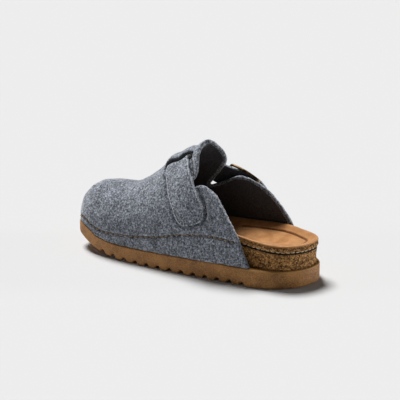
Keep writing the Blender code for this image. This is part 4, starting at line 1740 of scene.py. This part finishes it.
    def build(self, strap_edge: np.ndarray) -> bpy.types.Object:
        """The shell, its seam drawn in, sunk along the strap's edge, its inner face lined, and painted shade
        laid in its slits, the crack and the seam's trough.

        Args:
            strap_edge: Rows of the strap's edge line.

        Returns:
            The piece.
        """
        grid, skip = self.outer_face()
        draft = Draft()
        draft.add_grid(grid, skip=skip)
        upper = draft.to_object("felt_upper", self.last)
        mesh = upper.data
        outer = BVHTree.FromPolygons([v.co for v in mesh.vertices], [p.vertices for p in mesh.polygons])
        shell = upper.modifiers.new("felt wall", "SOLIDIFY")
        shell.thickness, shell.offset = self.felt * MM, -1.0
        split, reach = self.collar_split, self.cutter_reach
        carve(upper, [
            self.collar_cutter("medial_collar", self.collar_medial, -reach, split),
            self.collar_cutter("lateral_collar", self.collar_lateral, split - self.collar_overlap, reach),
        ])
        felted(upper, self.cell, self.soft_passes)
        skin = Skin(upper, self.last)
        trough = self.press_seam(skin)
        sunk, crack = self.press_strap(skin, strap_edge, outer)
        swell = lumps(skin.points, self.lump_size, self.lump_seed) * self.unevenness
        skin.push(swell - np.maximum(trough, sunk))
        finishes = [finish.material() for finish in (self.finish, self.lining_and_shade, self.seam_shade)]
        dress(upper, Slot.FELT, finishes, "upper")
        self.line_and_shade(upper, outer, crack, trough)
        return upper

    def stitches(self) -> bpy.types.Object:
        """The sewing that holds the upper to the footbed, some of it sunk deeper than the rest.

        Returns:
            The piece.
        """
        line, out = self.seam_line()
        swell = ease(*self.thread_swell, lumps(line, self.thread_lump, self.thread_seed))
        sunk = self.seam_trough * (self.thread_level + self.thread_sunk * swell)
        thread = self.sewing().build("upper_stitches", [(line - out * sunk[:, None], out)], self.last)
        return dress(thread, Slot.FELT, [TAN_THREAD.material()])


# Strap and buckle


class Ribbon:
    """A strip laid over the upper along a course of girth, along and width."""

    run_probe = 1.5
    course_steps = 12

    def __init__(self, last: Last, course: Sequence[Sequence[float]]) -> None:
        """Smooths the course and measures it over the upper.

        Args:
            last: The shoe's shape.
            course: Girth, along and width at each point of the course.
        """
        self.last = last
        self.course = smooth_line(course, self.course_steps)
        self.lengths = run_of(last.over_foot(self.course[:, 0], self.course[:, 1]))
        self.total = float(self.lengths[-1])

    def place(self, distance: Number) -> tuple[np.ndarray, np.ndarray, np.ndarray]:
        """Girth, along and width at a distance from the medial end."""
        girth, along, width = (np.interp(distance, self.lengths, column) for column in self.course.T)
        return girth, along, width

    def spread(self, distance: Number, sideways: Number) -> tuple[np.ndarray, np.ndarray]:
        """Where a place on the strip lies on the upper.

        Args:
            distance: Distances along the strip from its medial end.
            sideways: Distances from the strip's middle line towards the toe.

        Returns:
            Girths and distances from the heel.
        """
        last, (girth, along, _) = self.last, self.place(distance)
        before = self.place(np.maximum(0.0, distance - self.run_probe))
        after = self.place(np.minimum(self.total, distance + self.run_probe))
        run = unit(last.over_foot(*after[:2]) - last.over_foot(*before[:2]))
        across = np.cross(last.outward(girth, along), run)
        step, stride = last.probe_girth, last.probe_along
        by_girth = last.over_foot(girth + step, along) - last.over_foot(girth - step, along)
        by_girth = by_girth / (2 * step)
        by_along = last.over_foot(girth, along + stride) - last.over_foot(girth, along - stride)
        by_along = by_along / (2 * stride)
        pairs = ((by_girth, by_girth), (by_girth, by_along), (by_along, by_along), (by_girth, across),
                 (by_along, across))
        gg, ga, aa, g, a = ((one * other).sum(-1) for one, other in pairs)
        area = gg * aa - ga * ga
        return girth + sideways * (g * aa - a * ga) / area, along + sideways * (a * gg - g * ga) / area

    def point(self, distance: Number, sideways: Number, lift: Number) -> np.ndarray:
        """Point of the strip, lifted off the upper."""
        spot = self.spread(np.asarray(distance, float), np.asarray(sideways, float))
        return self.last.over_foot(*spot) + self.last.outward(*spot) * np.asarray(lift)[..., None]


@dataclass
class BuckleSizes:
    """Place and sizes of the buckle on the strap."""

    at: float = 163.5
    length: float = 33.0
    width: float = 29.6
    corner: float = 5.0
    wire: float = 2.8
    pin_wire: float = 2.0
    gap: float = 0.3


@dataclass
class Strap:
    """The felt strap: a rounded tab on the inner side, under the bridge, and through the buckle."""

    last: Last
    sizes: BuckleSizes
    finish: WoolFelt
    lining_and_shade: FeltLining
    # Paler felt on the strap's rim: the fuzzy cut edge, with a painted highlight where the edge catches light
    cut: WoolFelt = WoolFelt("wool felt, cut edge with painted highlight", "#5a5e65", "#7d828b", "#9ea4ae", "#c6ccd6")
    # Felt, and how it lies on the upper, under the bridge and over the buckle
    thick: float = 3.0
    clear: float = 0.3
    dive: float = -4.4
    dive_tilt: float = 0.6
    climb: float = 3.0
    climb_margin: float = 4.0
    tail_fall: float = 0.9
    tail_run: tuple[float, float] = (3.0, 15.0)
    # Ends and rows
    tab_round: float = 12.0
    tab_square: float = 0.6
    tip_round: float = 11.0
    end_start: float = 0.02
    end_rows: int = 14
    row_step: float = 1.5
    row_spare: float = 0.5
    columns: int = 17
    # Shares of the way up to the ridge between which it goes under the bridge
    slit_outer: float = 0.76
    slit_inner: float = 0.842
    # Holes for the pin
    hole: float = 3.6
    hole_run: tuple[float, float] = (-3.0, 7.0)
    hole_points: int = 9
    spare_holes: tuple[float, ...] = (20.0,)
    punch_lifts: tuple[float, float] = (-3.0, 12.0)
    cell: float = 0.75
    soft_passes: int = 3
    # Sewing inside the edge
    stitch_in: float = 2.4
    stitch_end: float = 0.9
    stitch_pitch: float = 3.7
    stitch_share: float = 0.66
    stitch_hidden: float = 0.01
    stitch_least: int = 4
    thread_radius: float = 0.4
    unevenness: float = 0.1
    lump_size: float = 9.0
    lump_seed: int = 11
    # Press of the edge on the upper, the crack beside it painted dark as shade, and the cut rim painted paler
    # as a highlight
    edge_beyond: float = 1.0
    front_beyond: float = 1.7
    front_press: float = 0.86
    front_fade: tuple[float, float] = (-4.0, 8.0)
    rear_crack_shade: float = 88.0
    front_crack_shade: tuple[float, float] = (70.0, 94.0)
    rim_in: float = 0.7
    rim_band: float = 1.1
    edge_curl: float = 0.3
    rear_turn: float = -0.45
    rear_margin: float = 0.03
    front_sunk: float = 2.3
    lining_turn: float = -0.3
    middle_points: int = 400
    # Side, height, along and width
    course: tuple = (
        (Side.MEDIAL, 55.5, 117.5, 34.0), (Side.MEDIAL, 66.0, 121.5, 35.0), (Side.MEDIAL, 75.3, 127.1, 35.3),
        (Side.MEDIAL, 83.2, 132.9, 35.3), (Side.MEDIAL, 91.7, 139.0, 35.0), (Side.MEDIAL, 100.0, 145.0, 33.5),
        (Side.MEDIAL, 107.5, 149.8, 28.5), (Side.MEDIAL, 111.8, 152.8, 23.5),
        (Side.LATERAL, 111.3, 152.6, 22.0), (Side.LATERAL, 103.5, 148.5, 23.0),
        (Side.LATERAL, 93.0, 139.0, 26.0), (Side.LATERAL, 87.0, 129.0, 28.0),
        (Side.LATERAL, 84.5, 119.0, 28.0), (Side.LATERAL, 82.5, 108.5, 27.5),
        (Side.LATERAL, 79.5, 98.0, 27.0), (Side.LATERAL, 74.0, 88.0, 26.0),
        (Side.LATERAL, 68.0, 80.0, 25.0), (Side.LATERAL, 62.5, 74.0, 24.5),
    )

    def __post_init__(self) -> None:
        """Lays the course over the upper."""
        girths = [self.last.girth_at(side, along, height) for side, height, along, _ in self.course]
        self.ribbon = Ribbon(self.last, [(girth, *row[2:]) for girth, row in zip(girths, self.course)])

    def lift(self, distance: np.ndarray, sideways: np.ndarray) -> np.ndarray:
        """Lift of the underside: on the upper, sunk under the bridge, and up over the buckle's lower bar.

        Args:
            distance: Distances along the strap.
            sideways: Distances from its middle line towards the toe.

        Returns:
            Lifts in millimetres.
        """
        share = 1 - np.abs(self.ribbon.spread(distance, sideways)[0])
        down = ease(self.slit_outer, self.slit_inner, share)
        top_bar = self.sizes.at - self.sizes.length / 2 + self.climb_margin
        low_bar = self.sizes.at + self.sizes.length / 2 - self.climb_margin
        girth, _, width = self.ribbon.place(distance)
        over = sideways / width * 2
        curl = np.where(over < 0, self.edge_curl * over**4, -self.front_sunk * over**2 * (girth < 0))
        lying = mix(self.clear, self.dive - self.dive_tilt * over, down)
        fall_start, fall_end = (low_bar + run for run in self.tail_run)
        climb = ease(top_bar, low_bar, distance) - self.tail_fall * ease(fall_start, fall_end, distance)
        return lying + self.climb * climb + curl * (1 - down)

    def edge_line(self) -> np.ndarray:
        """Places on the upper just beside the strap's edge.

        Returns:
            A row for each place: x, along, height, how hard the edge presses, and 1 where the crack beside it
                is painted dark as shade.
        """
        distance, half = self.rows()
        distance, half = np.concatenate([distance, distance]), np.concatenate([half, -half])
        front = half > 0
        beyond = np.where(front, self.front_beyond, -self.edge_beyond)
        girth, along = self.ribbon.spread(distance, half + beyond)
        shown = 1 - np.abs(girth) < self.slit_inner
        places = self.last.over_foot(girth, along)
        height, (low, high) = places[:, 2], self.front_crack_shade
        # Heights at which the crack beside the edge is painted dark as shade
        dark = np.where(front, (height > low) & (height < high), height > self.rear_crack_shade) & (girth < 0)
        fade_start, fade_end = (high + run for run in self.front_fade)
        press = np.where(front, self.front_press * (1 - ease(fade_start, fade_end, height)), 1.0)
        return np.column_stack([places, press, dark])[shown]

    def line_and_shade(self, obj: bpy.types.Object) -> None:
        """Gives the underside its dark inner felt, lays the same felt as painted shade on the run under the
        bridge and on faces turned to the heel beside the slit, and gives the rim a paler felt: its fuzzy cut
        edge with a painted highlight.

        Args:
            obj: The strap.
        """
        distance = np.linspace(0.0, self.ribbon.total, self.middle_points)
        girth, along, _ = self.ribbon.place(distance)
        tree, out = find_tree(self.last.over_foot(girth, along)), self.last.outward(girth, along)
        rows, half = self.rows()
        edge = find_tree([point for sign in (-1, 1) for point in self.ribbon.point(
            rows, sign * (half - self.rim_in), self.lift(rows, sign * half) + self.thick)])
        for face in obj.data.polygons:
            place = self.last.measured(face.center)
            nearest = tree.find(place)[1]
            share = 1 - abs(girth[nearest])
            # Faces under the bridge and faces turned to the heel beside the slit take the dark felt as
            # painted shade; the underside is the real lining
            behind = share > self.slit_outer - self.rear_margin and face.normal.y < self.rear_turn
            if share > self.slit_inner or behind or np.dot(face.normal, out[nearest]) < self.lining_turn:
                face.material_index = 1
            # A paler band on the rim: the cut edge, with a painted highlight
            elif edge.find(place)[2] < self.rim_band:
                face.material_index = 2

    def rows(self) -> tuple[np.ndarray, np.ndarray]:
        """Where the strap has a row of points; it is round at both ends.

        Returns:
            Distance along the strap and half width of each row.
        """
        quarter = np.linspace(self.end_start, math.pi / 2, self.end_rows)
        tab = self.tab_round * (1 - np.cos(quarter))
        tip = self.ribbon.total - self.tip_round * (1 - np.cos(quarter))[::-1]
        body_end = self.ribbon.total - self.tip_round - self.row_spare
        body = np.arange(self.tab_round + self.row_step, body_end, self.row_step)
        distance = np.concatenate([tab, body, tip])
        turn = np.sin(quarter)
        share = np.concatenate([turn**self.tab_square, np.ones(len(body)), turn[::-1]])
        return distance, share * self.ribbon.place(distance)[2] / 2

    def slot_cutter(self, name: str, start: float, end: float) -> bpy.types.Object:
        """What is punched out of the strap for the pin: a slot with round ends.

        Args:
            name: Name of the cutter.
            start: Start of the slot, from the middle of the buckle.
            end: End of the slot.

        Returns:
            The cutter.
        """
        radius = self.hole / 2
        turns = np.linspace(-math.pi / 2, math.pi / 2, self.hole_points)
        far = np.stack([end - radius + radius * np.cos(turns), radius * np.sin(turns)], -1)
        near = np.stack([start + radius - radius * np.cos(turns), -radius * np.sin(turns)], -1)
        run, sideways = np.concatenate([far, near]).T
        draft = Draft()
        draft.add_prism([self.ribbon.point(self.sizes.at + run, sideways, np.full(len(run), lift))
                         for lift in self.punch_lifts])
        return draft.to_object(name, self.last)

    def build(self) -> bpy.types.Object:
        """The strap, with the pin's slot and a spare hole.

        Returns:
            The piece.
        """
        distance, half = self.rows()
        sideways = half[:, None] * np.linspace(-1.0, 1.0, self.columns)
        run = np.broadcast_to(distance[:, None], sideways.shape)
        low = self.lift(run, sideways)
        draft = Draft()
        draft.add_slab([self.ribbon.point(run, sideways, low + top) for top in (0.0, self.thick)])
        strap = draft.to_object("felt_strap", self.last)
        holes = [self.slot_cutter("pin_slot", *self.hole_run)]
        holes += [self.slot_cutter("spare_hole", at, at + self.hole) for at in self.spare_holes]
        carve(strap, holes)
        felted(strap, self.cell, self.soft_passes)
        skin = Skin(strap, self.last)
        skin.push(lumps(skin.points, self.lump_size, self.lump_seed) * self.unevenness)
        finishes = [finish.material() for finish in (self.finish, self.lining_and_shade, self.cut)]
        dress(strap, Slot.FELT, finishes, "strap")
        self.line_and_shade(strap)
        return strap

    def stitches(self) -> bpy.types.Object:
        """Sewing inside the edge of the strap, on both sides of the bridge.

        Returns:
            The piece.
        """
        distance, half = self.rows()
        outline = np.concatenate([np.stack([distance, half], -1)[::-1], np.stack([distance, -half], -1)])
        ahead = unit(np.gradient(outline, axis=0))
        inward = np.stack([-ahead[:, 1], ahead[:, 0]], -1)
        middle = np.stack([distance.mean() * np.ones(len(outline)), np.zeros(len(outline))], -1)
        inward *= np.sign(((middle - outline) * inward).sum(-1).mean())
        path = outline + inward * self.stitch_in
        end = self.stitch_in * self.stitch_end
        path = path[(path[:, 0] > end) & (path[:, 0] < self.ribbon.total - end)]
        girth, along = self.ribbon.spread(*path.T)
        hidden = 1 - np.abs(girth) > self.slit_outer - self.stitch_hidden
        lines = []
        for group in np.split(np.arange(len(path)), np.flatnonzero(np.diff(hidden.astype(int))) + 1):
            if hidden[group[0]] or len(group) < self.stitch_least:
                continue
            run, sideways = path[group].T
            line = self.ribbon.point(run, sideways, self.lift(run, sideways) + self.thick)
            lines.append((line, self.last.outward(girth[group], along[group])))
        sewing = Sewing(self.stitch_pitch, self.stitch_pitch * self.stitch_share, self.thread_radius)
        thread = sewing.build("strap_stitches", lines, self.last)
        return dress(thread, Slot.FELT, [GREY_THREAD.material()])


@dataclass
class Buckle:
    """The bronze buckle: a rounded frame, a bent pin, and the felt tab that holds it."""

    strap: Strap
    finish: AntiqueBronze = AntiqueBronze()
    wire_clear: float = 0.2
    corner_points: int = 8
    frame_points: int = 160
    frame_sides: int = 16
    pin_steps: int = 10
    pin_sides: int = 14
    pin_blunt: int = 40
    pin_end: float = 0.05
    tab_width: float = 19.0
    tab_thick: float = 2.3
    tab_length: float = 12.0
    tab_rows: int = 13
    tab_columns: int = 15
    tab_cell: float = 0.6
    tab_passes: int = 2
    # Distance from the buckle's middle, and lift
    pin_bends: tuple = (
        (12.0, 1.6), (6.5, 1.8), (3.5, 3.0), (-1.5, 5.8), (-5.5, 7.2), (-10.5, 7.9), (-16.8, 8.1),
    )

    def outline(self) -> np.ndarray:
        """The frame's middle line in the plane of the strap, with round corners.

        Returns:
            Evenly spaced points, by distance along the strap and sideways.
        """
        sizes = self.strap.sizes
        corners = []
        for run_sign, side_sign, start in ((1, 1, 0), (-1, 1, 90), (-1, -1, 180), (1, -1, 270)):
            turns = np.radians(start + np.linspace(0, 90, self.corner_points))
            run = run_sign * (sizes.length / 2 - sizes.corner) + sizes.corner * np.cos(turns)
            sideways = side_sign * (sizes.width / 2 - sizes.corner) + sizes.corner * np.sin(turns)
            corners.append(np.stack([run, sideways], -1))
        ring = np.vstack([*corners, corners[0][:1]])
        lengths = run_of(ring)
        at = np.linspace(0.0, lengths[-1], self.frame_points, endpoint=False)
        return np.stack([np.interp(at, lengths, column) for column in ring.T], -1)

    def frame(self) -> bpy.types.Object:
        """The frame, from over the strap down to the tab.

        Returns:
            The piece.
        """
        sizes, strap, wire = self.strap.sizes, self.strap, self.strap.sizes.wire / 2
        high = strap.clear + strap.thick + sizes.gap + wire + self.wire_clear
        low = strap.clear + wire + self.wire_clear
        run, sideways = self.outline().T
        lift = mix(high, low, ease(-sizes.length / 2, sizes.length / 2, run))
        line = strap.ribbon.point(sizes.at + run, sideways, lift)
        draft = Draft()
        draft.add_tube(line, np.full(len(line), wire), self.frame_sides, closed=True)
        made = draft.to_object("bronze_frame", strap.last)
        return dress(made, Slot.BRONZE, [self.finish.material()], "buckle_frame")

    def pin(self) -> bpy.types.Object:
        """The pin, from its hinge through the strap and over the upper bar.

        Returns:
            The piece.
        """
        run, lift = smooth_line(self.pin_bends, self.pin_steps).T
        line = self.strap.ribbon.point(self.strap.sizes.at + run, np.zeros(len(run)), lift)
        share = np.linspace(0.0, 1.0, len(line))
        blunt = np.sqrt(np.clip(1 - np.abs(2 * share - 1) ** self.pin_blunt, self.pin_end, 1))
        draft = Draft()
        draft.add_tube(line, self.strap.sizes.pin_wire / 2 * blunt, self.pin_sides)
        made = draft.to_object("bronze_pin", self.strap.last)
        return dress(made, Slot.BRONZE, [self.finish.material()], "buckle_pin")

    def tab(self) -> bpy.types.Object:
        """The felt tab below the frame.

        Returns:
            The piece.
        """
        sizes, strap = self.strap.sizes, self.strap
        start = sizes.at + sizes.length / 2 + sizes.wire / 2 + sizes.gap
        runs = np.linspace(start, start + self.tab_length, self.tab_rows)
        run, share = np.meshgrid(runs, np.linspace(-1, 1, self.tab_columns), indexing="ij")
        sideways = share * self.tab_width / 2
        draft = Draft()
        draft.add_slab([strap.ribbon.point(run, sideways, np.full(run.shape, strap.clear + top))
                        for top in (0, self.tab_thick)])
        tab = draft.to_object("felt_buckle_tab", strap.last)
        felted(tab, self.tab_cell, self.tab_passes)
        return dress(tab, Slot.FELT, [strap.finish.material()], "buckle_tab")


# Studio


@dataclass
class Studio:
    """Pale floor, soft light and the camera of the photograph."""

    floor: PaintedFloor = PaintedFloor()
    floor_half: float = 6.0
    target: tuple[float, float, float] = (-0.0022, 0.0, 0.040)
    azimuth: float = -60.47
    elevation: float = 20.04
    distance: float = 1.8435
    focal_pixels: float = 1778.15
    picture_pixels: float = 400.0
    aim_up: float = 23.88
    aim_right: float = 1.78
    sensor: float = 36.0
    sky: float = 0.07
    # Name, azimuth, height, spread and power
    lamps: tuple = (
        ("key", 155.0, 63.0, 21.0, 5.4),
        ("heel", 30.0, 4.0, 10.0, 1.75),
        ("toe", -150.0, 5.0, 14.0, 0.88),
    )

    def build(self) -> None:
        """Sets up the whole studio."""
        self.lay_floor()
        self.light()
        self.place_camera()

    def lay_floor(self) -> None:
        """A large floor under the clog."""
        half = self.floor_half
        mesh = bpy.data.meshes.new("studio_floor")
        corners = [(-half, -half, 0), (half, -half, 0), (half, half, 0), (-half, half, 0)]
        mesh.from_pydata(corners, [], [(0, 1, 2, 3)])
        mesh.materials.append(self.floor.material())
        floor = bpy.data.objects.new("studio_floor", mesh)
        bpy.context.scene.collection.objects.link(floor)

    def towards(self, azimuth: float, height: float) -> Vector:
        """Direction from the clog to a place round it, by the azimuth and the height above the horizon."""
        turn, rise = math.radians(azimuth), math.radians(height)
        return Vector((math.sin(turn) * math.cos(rise), -math.cos(turn) * math.cos(rise), math.sin(rise)))

    def light(self) -> None:
        """A dim white sky, a key light from above the toe, and low fills from the heel and the toe."""
        scene = bpy.context.scene
        world = bpy.data.worlds.new("white studio")
        world.use_nodes = True
        sky = world.node_tree.nodes["Background"]
        sky.inputs["Color"].default_value = (1.0, 1.0, 1.0, 1.0)
        sky.inputs["Strength"].default_value = self.sky
        scene.world = world
        for name, azimuth, height, spread, power in self.lamps:
            lamp = bpy.data.lights.new(name, "SUN")
            lamp.energy, lamp.angle = power, math.radians(spread)
            placed = bpy.data.objects.new(name, lamp)
            placed.rotation_euler = self.towards(azimuth, height).to_track_quat("Z", "Y").to_euler()
            scene.collection.objects.link(placed)
        scene.view_settings.view_transform = "Standard"

    def place_camera(self) -> None:
        """A long lens at the photograph's angle."""
        back = self.towards(self.azimuth, self.elevation)
        right = Vector((0, 0, 1)).cross(back).normalized()
        up = back.cross(right)
        target = Vector(self.target)
        place = target + back * self.distance
        step = self.distance / self.focal_pixels
        aim = target + up * self.aim_up * step + right * self.aim_right * step
        lens = bpy.data.cameras.new("camera")
        lens.sensor_width, lens.lens = self.sensor, self.focal_pixels * self.sensor / self.picture_pixels
        camera = bpy.data.objects.new("camera", lens)
        camera.location = place
        camera.rotation_euler = (aim - place).to_track_quat("-Z", "Y").to_euler()
        bpy.context.scene.collection.objects.link(camera)
        bpy.context.scene.camera = camera


def report(piece: bpy.types.Object) -> None:
    """Logs a piece and its number of triangles."""
    triangles = sum(len(face.vertices) - 2 for face in piece.data.polygons)
    LOG.info("%s: %d triangles", piece.name, triangles)


def main() -> None:
    """Builds the clog from the sole up, then the studio round it."""
    logging.basicConfig(level=logging.INFO, format="%(name)s: %(message)s")
    last = Last()
    bed = Bed(last)
    report(Outsole(last).build())
    footbed = Footbed(last, bed)
    report(footbed.build())
    report(footbed.stitches())
    report(Insole(last, bed).build())
    upper = Upper(last)
    strap = Strap(last, BuckleSizes(), upper.finish, upper.lining_and_shade)
    report(upper.build(strap.edge_line()))
    report(upper.stitches())
    report(strap.build())
    report(strap.stitches())
    buckle = Buckle(strap)
    for piece in (buckle.frame(), buckle.pin(), buckle.tab()):
        report(piece)
    Studio().build()


if __name__ == "__main__":
    main()
